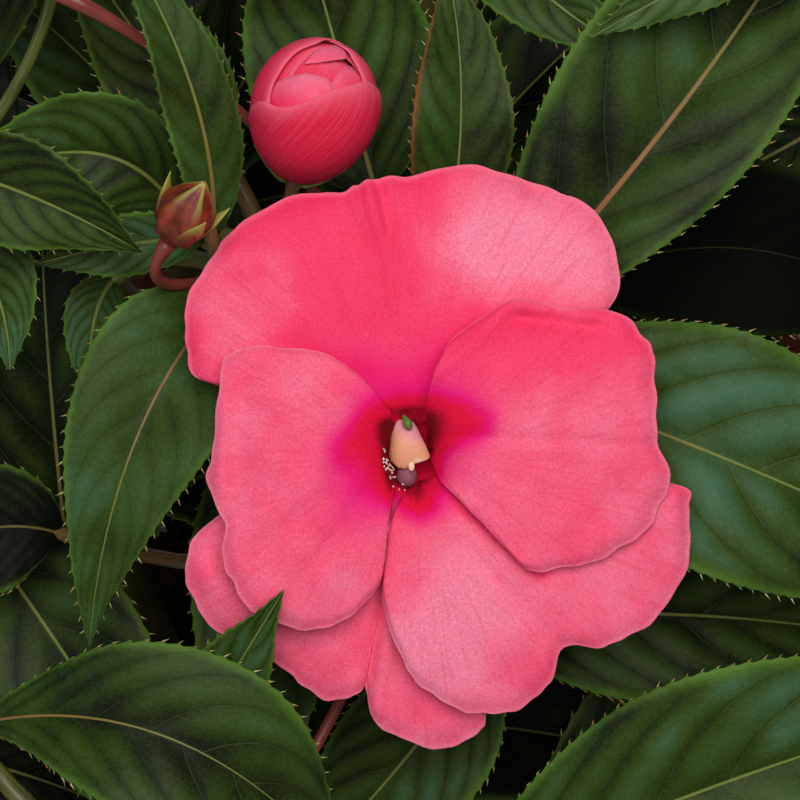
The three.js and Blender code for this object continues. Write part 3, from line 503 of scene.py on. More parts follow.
@dataclass(frozen=True)
class LeafSkin(Finish):
    """Fresh leaf: a waxy skin over pinnate veins, pale along its margin and its midrib."""

    name: str = "leaf skin"
    # Painted shade: the tone ramp starts from this near-black, and deep leaves are darkened towards it.
    shade_black: str = "#050803"
    deep: str = "#18220B"
    green: str = "#334917"
    fresh: str = "#4A6626"
    # A painted bluish sheen, standing in for the sky reflected in the leaf's wax.
    sky_sheen_blue: str = "#4A7258"
    margin: str = "#587C2C"
    red_edge: str = "#86452A"
    vein: str = "#56693A"
    rib_green: str = "#6F7B3C"
    rib_pink: str = "#93583E"
    under: str = "#6F7F58"
    under_rib: str = "#8B6A5C"
    net_mm: float = 1.5
    # How sharply the painted shade of the furrows gives way to the lighter swellings.
    furrow: float = 0.38
    cloud_mm: float = 14
    # The cells of a leaf's skin are a tenth of this, and are drawn as coarse as they need to show.
    grain_mm: float = 0.45
    even = {"IOR": 1.45, "Specular IOR Level": 0.14}

    def paint(self, add: Adder, where: Socket) -> Coat:
        """Paints furrow shade, swelling light, sky sheen and depth shade, and the veins, margin, midrib and
        under face.
        """
        place, vein, look, cast = (parts_of(add, fact) for fact in ("place", "vein", "look", "cast"))
        cloud = add("TexNoise", {"Vector": where, "Scale": per_mm(self.cloud_mm), "Detail": 3.0})
        grain = add("TexNoise", {"Vector": where, "Scale": per_mm(self.grain_mm), "Detail": 2.0})
        off = add("Math", {0: vein["X"], 1: 0.5}, operation="PINGPONG")
        # Swellings between the side veins are painted lighter and the furrows darker, as painted light and
        # shade.
        swell = add("MapRange", {"Value": off, "From Max": 0.5})
        swell = add("Math", {0: swell, 1: self.furrow}, operation="POWER")
        swell = add("Math", {0: swell, 1: -0.5}, operation="ADD")
        swell = add("Math", {0: swell, 1: vein["Y"], 2: 0.5}, operation="MULTIPLY_ADD")
        tone = look["X"]
        for layer, amount in ((swell, 0.42), (cloud, 0.9), (grain, 0.3)):
            tone = add("Math", {0: layer, 1: amount, 2: tone}, operation="MULTIPLY_ADD")
        tone = add("Math", {0: tone, 1: -0.42}, operation="ADD")
        dark, tops = [(0.0, self.shade_black), (0.22, self.deep), (0.5, self.green)], (self.fresh, self.sky_sheen_blue)
        warm, sky_sheen = (add("ValToRGB", {0: tone}, ramp=[*dark, (0.95, top)]) for top in tops)
        # Painted sky sheen: cloudy patches of the leaf take the bluish ramp, as far as its sheen share
        # allows.
        sheen = add("Math", {0: cloud, 1: 3.0, 2: cast["X"]}, operation="MULTIPLY_ADD")
        sheen = add("Math", {0: sheen, 1: -1.5}, operation="ADD", use_clamp=True)
        thin = {"Value": off, "From Min": 0.006, "From Max": 0.03, "To Min": 1.0, "To Max": 0.0}
        line = add("MapRange", thin, interpolation_type="SMOOTHSTEP")
        faint = add("Math", {0: line, 1: 0.18}, operation="MULTIPLY")
        rim = add("Math", {0: cloud, 1: 0.2, 2: place["Z"]}, operation="MULTIPLY_ADD")
        rim = {"Value": rim, "From Min": 0.96, "From Max": 1.17}
        rim = add("MapRange", rim, interpolation_type="SMOOTHSTEP")
        edge = add("Mix", {"Factor": look["Z"], "A": self.margin, "B": self.red_edge}, data_type="RGBA")
        thick = {"Value": place["X"], "From Min": 0.35, "From Max": 0.8, "To Min": 1.0, "To Max": 0.0}
        rib = add("MapRange", thick, interpolation_type="SMOOTHSTEP")
        ribs = add("Mix", {"Factor": look["Y"], "A": self.rib_green, "B": self.rib_pink}, data_type="RGBA")
        blade = warm
        for share, colour in ((sheen, sky_sheen), (faint, self.vein), (rim, edge), (rib, ribs)):
            blade = add("Mix", {"Factor": share, "A": blade, "B": colour}, data_type="RGBA")
        lines = add("Math", {0: rib, 1: line}, operation="MAXIMUM")
        below = add("Mix", {"Factor": lines, "A": self.under, "B": self.under_rib}, data_type="RGBA")
        skin = add("Mix", {"Factor": vein["Z"], "A": below, "B": blade}, data_type="RGBA")
        # Leaves whose shade is below -0.36 are darkened towards black, as painted shade deep in the plant,
        # and made duller.
        depth_shade = add("MapRange", {"Value": look["X"], "From Min": -0.36, "From Max": -0.5, "To Max": 0.85})
        skin = add("Mix", {"Factor": depth_shade, "A": skin, "B": self.shade_black}, data_type="RGBA")
        net = {"Vector": where, "Scale": per_mm(self.net_mm)}
        cells = add("TexVoronoi", net, feature="DISTANCE_TO_EDGE")
        height = add("MapRange", {"Value": cells, "From Max": 0.3, "To Max": 0.3})
        height = add("Math", {0: grain, 1: 0.8, 2: height}, operation="MULTIPLY_ADD")
        height = add("Math", {0: line, 1: -1.6, 2: height}, operation="MULTIPLY_ADD")
        dull = add("MapRange", {"Value": cloud, "To Min": 0.38, "To Max": 0.6})
        dull = add("Math", {0: depth_shade, 1: 0.5, 2: dull}, operation="MULTIPLY_ADD")
        return Coat(skin, dull, height, relief=0.07, strength=0.6)


@dataclass(frozen=True)
class Speckled(Finish):
    """A finish that is clouded from one colour to another: horn, peat, perlite, pollen or floor."""

    name: str
    first: str
    second: str
    cloud_mm: float
    places: Spot = (0.35, 0.6)
    detail: float = 2.0
    even: dict[str, float] = field(default_factory=dict)
    relief: float = 0.0

    def paint(self, add: Adder, where: Socket) -> Coat:
        """Paints clouds between the two colours, raised where the finish has a relief."""
        cloud = add("TexNoise", {"Vector": where, "Scale": per_mm(self.cloud_mm), "Detail": self.detail})
        colour = add("ValToRGB", {0: cloud}, ramp=list(zip(self.places, (self.first, self.second))))
        return Coat(colour, height=cloud if self.relief else None, relief=self.relief, strength=0.9)


# Leaf bristles are stiff horn: cream, and tipped with orange here and there.
HORN = Speckled("leaf bristle", "#B4AC66", "#A47A40", 9, (0.4, 0.65), 1.0, {"Roughness": 0.45})
# Peat and bark are dark, damp and rough, in crumbs of a millimetre or two.
PEAT = Speckled(
    "potting mix", "#1C130D", "#3F2C1E", 1.6, (0.35, 0.7), 5.0,
    {"Roughness": 0.95, "Specular IOR Level": 0.2}, relief=0.8,
)
# Perlite is chalky and grey-white, and pollen is a pale mealy dust.
PERLITE = Speckled("perlite", "#8E8778", "#C9C3B4", 1.2, even={"Roughness": 0.8})
POLLEN = Speckled("pollen", "#C7A59A", "#F1DDD0", 1.2, even={"Roughness": 0.8})
# The studio floor is plain, pale and matte.
FLOOR = Speckled("pale floor", "#D9D6D1", "#D9D6D1", 400, (0.0, 1.0), 1.0, {"Roughness": 0.85})


@dataclass(frozen=True)
class PetalSkin(Finish):
    """Fresh petal: velvety with small raised cells, finely veined, and magenta at the throat."""

    name: str = "petal velvet"
    warm: str = "#F32458"
    coral: str = "#F9436F"
    pale: str = "#FA84A2"
    rim: str = "#FC9FB5"
    blush: str = "#EC0D76"
    red: str = "#E41240"
    # The throat's own dark red, deepened further as painted shade of its hollow beside the hood.
    shaded_crimson: str = "#780C17"
    bud: str = "#E41C44"
    bud_light: str = "#EC4261"
    vein: str = "#E2264F"
    # The cells that make a petal velvety are a tenth of this, and are drawn coarser to show.
    cell_mm: float = 0.3
    cloud_mm: float = 7
    even = {
        "Roughness": 0.55,
        "Specular IOR Level": 0.08,
        "Subsurface Weight": 0.12,
        "Subsurface Radius": (1.0, 0.25, 0.25),
        "Subsurface Scale": 0.0015,
    }

    def paint(self, add: Adder, where: Socket) -> Coat:
        """Paints clouds of coral with painted light and shade, fine veins that fan out, the throat's blush
        and a pale rim.
        """
        place, mask = parts_of(add, "place"), parts_of(add, "mask")
        cloud = add("TexNoise", {"Vector": where, "Scale": per_mm(self.cloud_mm), "Detail": 4.0})
        # The tone, which carries the petal's painted light and shade, runs from warm red through coral to
        # pale.
        tone = add("Math", {0: cloud, 1: 0.55, 2: mask["Y"]}, operation="MULTIPLY_ADD")
        skin = add("ValToRGB", {0: tone}, ramp=[(0.1, self.warm), (0.5, self.coral), (0.95, self.pale)])
        fan_out = add("CombineXYZ", {0: place["X"], 1: place["Y"]})
        streaks = add("TexNoise", {"Vector": fan_out, "Scale": 1.0, "Detail": 3.0, "Roughness": 0.6})
        thin = {"Value": streaks, "From Min": 0.52, "From Max": 0.76, "To Max": 0.34}
        skin = add("Mix", {"Factor": add("MapRange", thin), "A": skin, "B": self.vein}, data_type="RGBA")
        stain = (self.coral, self.blush, self.blush, self.red, self.red, self.shaded_crimson)
        deep = add("ValToRGB", {0: mask["X"]}, ramp=list(zip((0.0, 0.15, 0.28, 0.46, 0.62, 0.92), stain)))
        near = add("MapRange", {"Value": mask["X"], "From Max": 0.34}, interpolation_type="SMOOTHSTEP")
        skin = add("Mix", {"Factor": near, "A": skin, "B": deep}, data_type="RGBA")
        # The velvet's cells lighten and darken the colour cell by cell: their own texture, with painted
        # glints.
        cells = add("TexNoise", {"Vector": where, "Scale": per_mm(self.cell_mm), "Detail": 2.0})
        cell_glint = {"Value": cells, "From Min": 0.3, "From Max": 0.7, "To Min": 0.2, "To Max": 0.8}
        grain = {"Factor": 0.42, "A": skin, "B": add("MapRange", cell_glint)}
        skin = add("Mix", grain, data_type="RGBA", blend_type="OVERLAY")
        bud = add("ValToRGB", {0: streaks}, ramp=[(0.4, self.bud), (0.7, self.bud_light)])
        skin = add("Mix", {"Factor": mask["Z"], "A": skin, "B": bud}, data_type="RGBA")
        edge = add("MapRange", {"Value": place["Z"], "From Min": 0.975, "From Max": 1.0, "To Max": 0.3})
        skin = add("Mix", {"Factor": edge, "A": skin, "B": self.rim}, data_type="RGBA")
        height = add("Math", {0: streaks, 1: 0.8, 2: cells}, operation="MULTIPLY_ADD")
        return Coat(skin, height=height, relief=0.16, strength=0.6)


@dataclass(frozen=True)
class StemSkin(Finish):
    """Juicy stem: green, flushed with red, finely streaked along its length."""

    name: str = "stem skin"
    green: str = "#76843F"
    red: str = "#8E3B36"
    dark: str = "#4A5426"
    even = {"Roughness": 0.38, "Subsurface Weight": 0.1, "Subsurface Scale": 0.002}

    def paint(self, add: Adder, where: Socket) -> Coat:
        """Paints streaks of dark green, and the red flush that each stalk has."""
        place = parts_of(add, "place")
        around = add("CombineXYZ", {0: place["X"], 1: place["Y"]})
        streaks = add("TexNoise", {"Vector": around, "Scale": 9.0, "Detail": 3.0})
        green = add("ValToRGB", {0: streaks}, ramp=[(0.35, self.dark), (0.65, self.green)])
        flush = add("Math", {0: streaks, 1: 0.5, 2: place["Z"]}, operation="MULTIPLY_ADD")
        flush = add("MapRange", {"Value": flush, "From Min": 0.35, "From Max": 1.1})
        skin = add("Mix", {"Factor": flush, "A": green, "B": self.red}, data_type="RGBA")
        return Coat(skin, height=streaks, relief=0.15, strength=0.4)


@dataclass(frozen=True)
class BudSkin(Finish):
    """Closed bud: satin dark red, with yellow-green keels and tips."""

    name: str = "bud skin"
    dark: str = "#52180E"
    red: str = "#8C351C"
    keel: str = "#ACA94E"
    even = {"Roughness": 0.42, "Subsurface Weight": 0.08, "Subsurface Scale": 0.001}

    def paint(self, add: Adder, where: Socket) -> Coat:
        """Paints the red, clouded, and the green that its points ask for."""
        mask = parts_of(add, "mask")
        cloud = add("TexNoise", {"Vector": where, "Scale": per_mm(2.2), "Detail": 3.0})
        red = add("ValToRGB", {0: cloud}, ramp=[(0.35, self.dark), (0.65, self.red)])
        skin = add("Mix", {"Factor": mask["X"], "A": red, "B": self.keel}, data_type="RGBA")
        grain = add("TexNoise", {"Vector": where, "Scale": per_mm(0.5), "Detail": 2.0})
        return Coat(skin, height=grain, relief=0.1, strength=0.4)


@dataclass(frozen=True)
class HoodWax(Finish):
    """The hood in the throat: waxy cream, pink at its top, with a green tip and a grey body."""

    name: str = "column wax"
    cream: str = "#E29F7B"
    pink: str = "#DE8BA2"
    # Painted highlight on the hood's lower right lip and its lobe.
    light: str = "#F9CFAE"
    # Painted shade on the flap folded in at the hood's left.
    flap_shade: str = "#B5744F"
    green: str = "#5F7A30"
    grey: str = "#8E5262"
    even = {
        "Roughness": 0.48,
        "Specular IOR Level": 0.3,
        "Subsurface Weight": 0.2,
        "Subsurface Scale": 0.0012,
    }

    def paint(self, add: Adder, where: Socket) -> Coat:
        """Paints the parts of the column as the facts of its points say."""
        mask, tint = parts_of(add, "mask"), parts_of(add, "tint")
        grain = add("TexNoise", {"Vector": where, "Scale": per_mm(0.5), "Detail": 2.0})
        hood = self.cream
        for share, colour in (
            (mask["X"], self.pink), (tint["X"], self.light), (tint["Y"], self.flap_shade),
            (mask["Y"], self.green), (mask["Z"], self.grey),
        ):
            hood = add("Mix", {"Factor": share, "A": hood, "B": colour}, data_type="RGBA")
        return Coat(hood, height=grain, relief=0.12, strength=0.5)


@dataclass(frozen=True)
class Terracotta(Finish):
    """Fired clay, unglazed: matte and gritty, with the pale bloom that watering leaves."""

    name: str = "terracotta"
    dark: str = "#9A4A2C"
    clay: str = "#B9663F"
    light: str = "#CB8560"
    bloom: str = "#D9C3B0"
    grit_mm: float = 0.8
    even = {"Specular IOR Level": 0.25}

    def paint(self, add: Adder, where: Socket) -> Coat:
        """Paints clouded clay, faint rings left by turning, grit, and patches of pale bloom."""
        cloud = add("TexNoise", {"Vector": where, "Scale": per_mm(26), "Detail": 5.0})
        ramp = [(0.3, self.dark), (0.5, self.clay), (0.75, self.light)]
        clay = add("ValToRGB", {0: cloud}, ramp=ramp)
        patch = add("TexNoise", {"Vector": where, "Scale": per_mm(40), "Detail": 8.0, "Roughness": 0.65})
        patch = add("MapRange", {"Value": patch, "From Min": 0.52, "From Max": 0.7, "To Max": 0.65})
        skin = add("Mix", {"Factor": patch, "A": clay, "B": self.bloom}, data_type="RGBA")
        grit = add("TexNoise", {"Vector": where, "Scale": per_mm(self.grit_mm), "Detail": 3.0})
        rings = {"Vector": where, "Scale": per_mm(16), "Distortion": 1.2, "Detail": 2.0}
        turned = add("TexWave", rings, bands_direction="Z")
        height = add("Math", {0: turned, 1: 0.5, 2: grit}, operation="MULTIPLY_ADD")
        dull = add("MapRange", {"Value": grit, "To Min": 0.78, "To Max": 0.95})
        return Coat(skin, dull, height, relief=0.3, strength=0.5)


@dataclass
class Palette:
    """Every finish of the plant, built once."""

    leaf: Material = field(default_factory=LeafSkin().build)
    bristle: Material = field(default_factory=HORN.build)
    petal: Material = field(default_factory=PetalSkin().build)
    stem: Material = field(default_factory=StemSkin().build)
    bud: Material = field(default_factory=BudSkin().build)
    hood: Material = field(default_factory=HoodWax().build)
    clay: Material = field(default_factory=Terracotta().build)
    peat: Material = field(default_factory=PEAT.build)
    perlite: Material = field(default_factory=PERLITE.build)
    pollen: Material = field(default_factory=POLLEN.build)


# Leaves.

FOLD = math.radians(15)
PETIOLE = 1.2
FULL_WIDTH = 28.0
VEIN_LEAD = (1.0, 0.75)


@dataclass(frozen=True)
class LeafLook:
    """How one leaf looks: tone and painted shade, pink midrib, red edge, painted sky sheen, rib width,
    quilting.
    """

    # Shade sets the leaf's tone and paints the shade it lies in; below -0.36 it darkens the leaf towards
    # black.
    shade: float = 0.0
    pink: float = 0.4
    edge: float = 0.0
    # How much painted bluish sky sheen the leaf shows.
    sky_sheen: float = 0.5
    rib: float = 1.0
    # Veins scales the quilting and the painted shade of its furrows.
    veins: float = 1.0


@dataclass(frozen=True)
class Leaf:
    """One leaf: where it leaves its stem, its midrib, its upper face's way, its roll and width."""

    root: Array
    rib: Array
    facing: Array
    roll: float
    width: float
    belly: float
    look: LeafLook
    seed: int
    skew: float = 0.0

    @property
    def length(self) -> float:
        """The length of its midrib."""
        line = through(self.rib, np.linspace(0, 1, 20))
        return float(np.linalg.norm(np.diff(line, axis=0), axis=1).sum())

    def axes(self, s: Array) -> tuple[Array, Array, Array]:
        """The directions along it, across it and out of its upper face at places along it."""
        along = unit(slope(self.rib, s))
        flat = unit(np.cross(along, self.facing))
        face = np.cross(flat, along)
        side = flat * math.cos(self.roll) + face * math.sin(self.roll)
        return along, side, np.cross(side, along)


@dataclass(frozen=True)
class LeafCut:
    """How finely a leaf is cut: its teeth, their points, and the lines across each half."""

    across: tuple[float, ...]
    under: int
    per_tooth: int
    tooth_pitch: float = 2.5
    tooth: float = 0.5
    thick: float = 0.28
    rim: float = 0.12
    veins: float = 7.5
    swell: float = 1.05
    ripple: float = 0.9


CLOSE_LINES = (0, 0.03, 0.08, 0.17, 0.29, 0.42, 0.56, 0.70, 0.84, 0.94, 0.985, 1.0)
CLOSE_CUT = LeafCut(CLOSE_LINES, under=23, per_tooth=3, tooth_pitch=1.8, tooth=0.4)
FAR_LINES = (0, 0.06, 0.2, 0.4, 0.62, 0.84, 0.97, 1.0)
FAR_CUT = LeafCut(FAR_LINES, under=5, per_tooth=3, tooth_pitch=2.4, tooth=0.4)


def leaf_profile(s: Array, belly: float) -> Array:
    """Half a leaf's width as a share of its widest, drawn out to a point at its tip."""
    swell = np.sin(np.pi * s**belly) ** 0.9 * (1 - 0.3 * s**3) * 1.03
    return swell * (1 - 0.22 * smooth(s, 0.78, 0.97))


class LeafMaker:
    """Cuts leaves into a draft, and keeps where the bristles of their teeth stand."""

    def __init__(self, draft: Draft, cut: LeafCut) -> None:
        """Starts with the draft that it adds to and how finely it cuts."""
        self.draft = draft
        self.cut = cut
        self.bristles: list[Array] = []

    def add(self, leaf: Leaf) -> None:
        """Adds one leaf, with its blade, its stalk and its bristles.

        Args:
            leaf: the leaf.
        """
        cut = self.cut
        rng = np.random.default_rng(leaf.seed)
        teeth = max(8, round(leaf.length / cut.tooth_pitch))
        rows = teeth * cut.per_tooth
        s = (np.arange(rows) + 1)[:, None] / (rows + 1)
        half_line = np.array(cut.across)
        t = np.concatenate([-half_line[:0:-1], half_line])[None, :]
        far = np.abs(t)
        along, side, face = (axis[:, None, :] for axis in leaf.axes(s[:, 0]))
        half = np.hypot(leaf.width / 2 * leaf_profile(s, leaf.belly), 0.5 * (1 - s))
        reach = half * (t + leaf.skew * (1 - far)) + np.sign(t) * self.saw(s) * far**6
        off = reach - half * leaf.skew
        phase = self.phase(leaf, s, t, rng.uniform(0, 1))
        window = smooth(far, 0.02, 0.2) * (1 - smooth(far, 0.75, 1)) * smooth(s, 0.02, 0.15)
        window = window * leaf.look.veins
        lift = half * math.sin(FOLD) * (1.35 * far - 0.35 * far**3)
        lift = lift + self.quilting(leaf, s, phase, window) + self.waves(leaf, s, t, rng)
        middle = through(leaf.rib, s[:, 0])[:, None, :] + side * (reach * math.cos(FOLD))[..., None]
        middle = middle + face * lift[..., None]
        wall = np.where(far > 0.995, cut.rim, cut.thick)[..., None] * np.ones_like(s)[..., None]
        crown = 0.25 * np.exp(-((off / 0.5) ** 2)) * (1 - s)
        spine = 0.5 * np.exp(-((off / 1.0) ** 2)) * (1 - 0.6 * s)
        over = middle + face * (wall + crown[..., None])
        keep = np.unique(np.round(np.linspace(0, t.size - 1, cut.under)).astype(int))
        under = (middle - face * (wall + spine[..., None]))[:, keep]
        points, faces = shell(over, under, through(leaf.rib, 0.0), through(leaf.rib, 1.0))
        rib_width = leaf.look.rib * (0.52 - 0.42 * s)
        vein = columns(phase, window, 1.0)
        ends = np.array([[0, 0, 0], [0, 1, 0]], float)
        place, look = columns(np.abs(off) / rib_width, s, far), self.tints(leaf.look, s, t)
        self.draft.add(
            points,
            faces,
            place=listed(place, place[:, keep], ends),
            vein=listed(vein, vein[:, keep] * [1, 1, 0], ends),
            look=listed(look, look[:, keep], ends),
            # How much painted sky sheen the whole leaf takes.
            cast=even_fact(points, leaf.look.sky_sheen, 0, 0),
        )
        self.add_stalk(leaf)
        self.add_bristles(leaf, middle, (along, side, face), s[:, 0], rng)

    def saw(self, s: Array) -> Array:
        """How far the teeth stand out at each row, which is least at both ends of the leaf."""
        per_tooth = self.cut.per_tooth
        step = (np.arange(len(s)) % per_tooth / per_tooth)[:, None]
        return self.cut.tooth * step * smooth(s, 0.05, 0.14) * (1 - smooth(s, 0.93, 0.99))

    def quilting(self, leaf: Leaf, s: Array, phase: Array, window: Array) -> Array:
        """How far the blade swells between its side veins."""
        ridge = np.abs(np.sin(np.pi * phase)) ** 1.2
        return self.cut.swell * (leaf.width / FULL_WIDTH) * window * (ridge - 0.5) * (1 - 0.4 * s)

    def waves(self, leaf: Leaf, s: Array, t: Array, rng: Random) -> Array:
        """How far the margins wave up and down, each half in its own way.

        Args:
            leaf: the leaf.
            s: the places along it.
            t: the places across it, from -1 to 1.
            rng: the leaf's own random numbers.

        Returns:
            The lift of each place.
        """
        counts, starts = rng.uniform(2.2, 3.6, 2), rng.uniform(0, FULL_TURN, 2)
        hand = (t > 0).astype(int)
        wave = np.sin(FULL_TURN * counts[hand] * s + starts[hand])
        return wave * (self.cut.ripple * (leaf.width / FULL_WIDTH) * np.abs(t) ** 3 * smooth(s, 0.05, 0.3))

    def tints(self, look: LeafLook, s: Array, t: Array) -> Array:
        """The leaf's tone and painted shade, its midrib's pink, which fades along it, and its red edge."""
        pink = look.pink * (1 - smooth(s, 0.1, 0.3 + 0.65 * look.pink))
        return columns(look.shade + 0 * t, pink, look.edge * np.where(t < 0, 1, 0.15))

    def phase(self, leaf: Leaf, s: Array, t: Array, start: float) -> Array:
        """The count of side veins at places on a leaf: whole numbers lie on a vein.

        Args:
            leaf: the leaf.
            s: the places along it.
            t: the places across it, from -1 to 1.
            start: where the count starts.

        Returns:
            The count at each place.
        """
        far = np.abs(t)
        slant = leaf.width / 2 / leaf.length
        off = slant * (VEIN_LEAD[0] * far + VEIN_LEAD[1] * far**3)
        return self.cut.veins * (s - off) + start + 0.4 * (t > 0)

    def add_stalk(self, leaf: Leaf) -> None:
        """Adds the leaf's stalk, which runs on as the rib under its blade.

        Args:
            leaf: the leaf.
        """
        foot = through(leaf.rib, 0.0)
        heading = unit(slope(leaf.rib, 0.0))
        gap = np.linalg.norm(foot - leaf.root)
        bow = foot - heading * gap * 0.5
        _, side, face = leaf.axes(np.array([0.05, 0.3]))
        drift = side[0] * leaf.skew * leaf.width / 2
        shares = np.linspace(0, 1, 8)
        path = [(1 - u) ** 2 * leaf.root + 2 * u * (1 - u) * bow + u * u * foot for u in shares]
        for s in (0.06, 0.14, 0.24, 0.34):
            path.append(through(leaf.rib, s) + drift * leaf_profile(s, leaf.belly) - face[0] * (0.35 + s))
        radii = np.concatenate([np.linspace(PETIOLE * 1.25, PETIOLE * 0.9, 8), [0.85, 0.7, 0.5, 0.3]])
        points, faces, facts = tube(np.array(path), radii, 8, flatten=0.85)
        facts[:, 2] = leaf.look.pink
        self.draft.add(points, faces, slot=1, place=facts)

    def add_bristles(
        self,
        leaf: Leaf,
        middle: Array,
        axes: tuple[Array, ...],
        s: Array,
        rng: Random,
    ) -> None:
        """Keeps the foot, the way and the size of the bristle on each tooth.

        Args:
            leaf: the leaf.
            middle: the grid of its blade.
            axes: the directions along, across and out of it at each row.
            s: the place of each row along it.
            rng: the leaf's own random numbers.
        """
        tops = np.arange(self.cut.per_tooth - 1, len(s), self.cut.per_tooth)
        tops = tops[(s[tops] > 0.04) & (s[tops] < 0.985)]
        along, side, face = (axis[tops, 0] for axis in axes)
        for column, hand in ((0, -1), (-1, 1)):
            spread = rng.uniform(0.25, 0.8, (len(tops), 1))
            rise = rng.uniform(-0.1, 0.45, (len(tops), 1))
            way = unit(along * (1 - 0.5 * spread) + side * hand * spread + face * rise)
            size = rng.uniform(0.6, 1.25, (len(tops), 1)) * min(1.0, leaf.width / 18)
            self.bristles.append(np.concatenate([middle[tops, column], way, size], axis=1))


def start_tree(name: str, **inputs: str) -> Tree:
    """Starts a Geometry Nodes tree, with its named inputs and one output.

    Args:
        name: the tree's name.
        inputs: the kind of each input, in their order.

    Returns:
        The tree.
    """
    tree = bpy.data.node_groups.new(name, "GeometryNodeTree")
    for label, kind in inputs.items():
        tree.interface.new_socket(label, in_out="INPUT", socket_type=f"NodeSocket{kind}")
    tree.interface.new_socket("Grown", in_out="OUTPUT", socket_type="NodeSocketGeometry")
    return tree


def end_tree(add: Adder, copies: dict, material: Material) -> None:
    """Ends a tree: sets its copies on their points, makes them real and dresses them.

    Args:
        add: adds a node to the tree.
        copies: the points, and the shape, turn and scale of the copy on each.
        material: their finish.
    """
    real = add("GeometryNodeRealizeInstances", {"Geometry": add("GeometryNodeInstanceOnPoints", copies)})
    dressed = add("GeometryNodeSetMaterial", {"Geometry": real, "Material": material})
    add("NodeGroupOutput", {0: dressed})


@dataclass(frozen=True)
class Bristles:
    """Grows the bristles of the leaves' teeth from their feet, as thin four-sided horns."""

    length: float = 0.78
    thick: float = 0.1
    seed: int = 11

    def tree(self, material: Material) -> Tree:
        """Builds the tree: a cone on each foot, turned along its way and sized for its tooth.

        Args:
            material: their finish.

        Returns:
            The tree.
        """
        tree = start_tree("leaf bristles", Feet="Geometry", Length="Float", Thickness="Float", Seed="Int")
        add = partial(add_node, tree)
        given = add("NodeGroupInput").outputs
        sides = {"Vertices": 4, "Radius Bottom": given["Thickness"], "Depth": given["Length"]}
        horn = add("GeometryNodeMeshCone", sides).outputs["Mesh"]
        way = add("GeometryNodeInputNamedAttribute", {"Name": "way"}, data_type="FLOAT_VECTOR")
        size = add("GeometryNodeInputNamedAttribute", {"Name": "size"}, data_type="FLOAT_VECTOR")
        turn = add("FunctionNodeAlignRotationToVector", {"Vector": way}, axis="Z")
        chance = add("FunctionNodeRandomValue", {"Min": 0.8, "Max": 1.2, "Seed": given["Seed"]})
        scale = add("VectorMath", {0: size, "Scale": chance}, operation="SCALE")
        copies = {"Points": given["Feet"], "Instance": horn, "Rotation": turn, "Scale": scale}
        end_tree(add, copies, material)
        return tree

    def grow(self, name: str, rows: Array, material: Material) -> Piece:
        """Grows the bristles of one shoot.

        Args:
            name: the piece's name.
            rows: for each bristle its foot, its way and its size.
            material: its finish.

        Returns:
            The piece, as a plain mesh.
        """
        feet = Draft()
        feet.points, feet.count = [rows[:, :3]], len(rows)
        feet.facts = {"way": [rows[:, 3:6]], "size": [np.repeat(rows[:, 6:7], 3, axis=1)]}
        values = {"Length": self.length * MM, "Thickness": self.thick * MM, "Seed": self.seed}
        return grow_nodes(feet.make(name, material), self.tree(material), values)


def grow_nodes(
    base: Piece, tree: Tree, values: dict[str, float]
) -> Piece:
    """Runs a Geometry Nodes tree on an object and keeps what it grows as a plain mesh.

    Args:
        base: the object that it runs on, which is removed.
        tree: the tree.
        values: its named inputs.

    Returns:
        The grown object, under the base's name.
    """
    name = base.name
    modifier = base.modifiers.new("grow", "NODES")
    modifier.node_group = tree
    for item in tree.interface.items_tree:
        if item.item_type == "SOCKET" and item.in_out == "INPUT" and item.name in values:
            modifier[item.identifier] = values[item.name]
    evaluated = base.evaluated_get(bpy.context.evaluated_depsgraph_get())
    mesh = bpy.data.meshes.new_from_object(evaluated)
    base.modifiers.remove(modifier)
    bpy.data.objects.remove(base)
    mesh.name = name
    grown = bpy.data.objects.new(name, mesh)
    bpy.context.scene.collection.objects.link(grown)
    return grown


# Shoots.


@dataclass(frozen=True)
class Rule:
    """How a stem's lesser leaves stand: how many, between which places, and how they turn."""

    count: int
    start: float
    turn: float
    length: float
    width: float
    spread: float
    end: float = 0.985


@dataclass(frozen=True)
class FrontLeaf:
    """A leaf that the photo shows: its place on the stem and its midrib in the front frame."""

    at: float
    foot: Place
    middle: Place
    tip: Place
    width: float
    roll: float = 0.0
    belly: float = 0.8
    look: LeafLook = LeafLook()
    skew: float = 0.0


@dataclass(frozen=True)
class Shoot:
    """A leafy stem: its foot in the mix, its tip, the leaves of the photo and its leaf rule."""

    name: str
    foot: Spot
    tip: Array
    rule: Rule
    leaves: tuple[FrontLeaf, ...] = ()

    @property
    def path(self) -> Array:
        """The start, middle and end of the stem, which leans out as it rises."""
        foot = np.array([*self.foot, MIX_TOP - STEM_SUNK])
        middle = np.array([*self.foot, 0]) * 0.66 + self.tip * [0.34, 0.34, 0]
        middle[2] = (MIX_TOP + self.tip[2]) / 2
        return np.stack([foot, middle, self.tip])


MIX_TOP = 112.0
STEM_SUNK = 20.0
STEM_FOOT, STEM_TIP = 4.6, 2.2
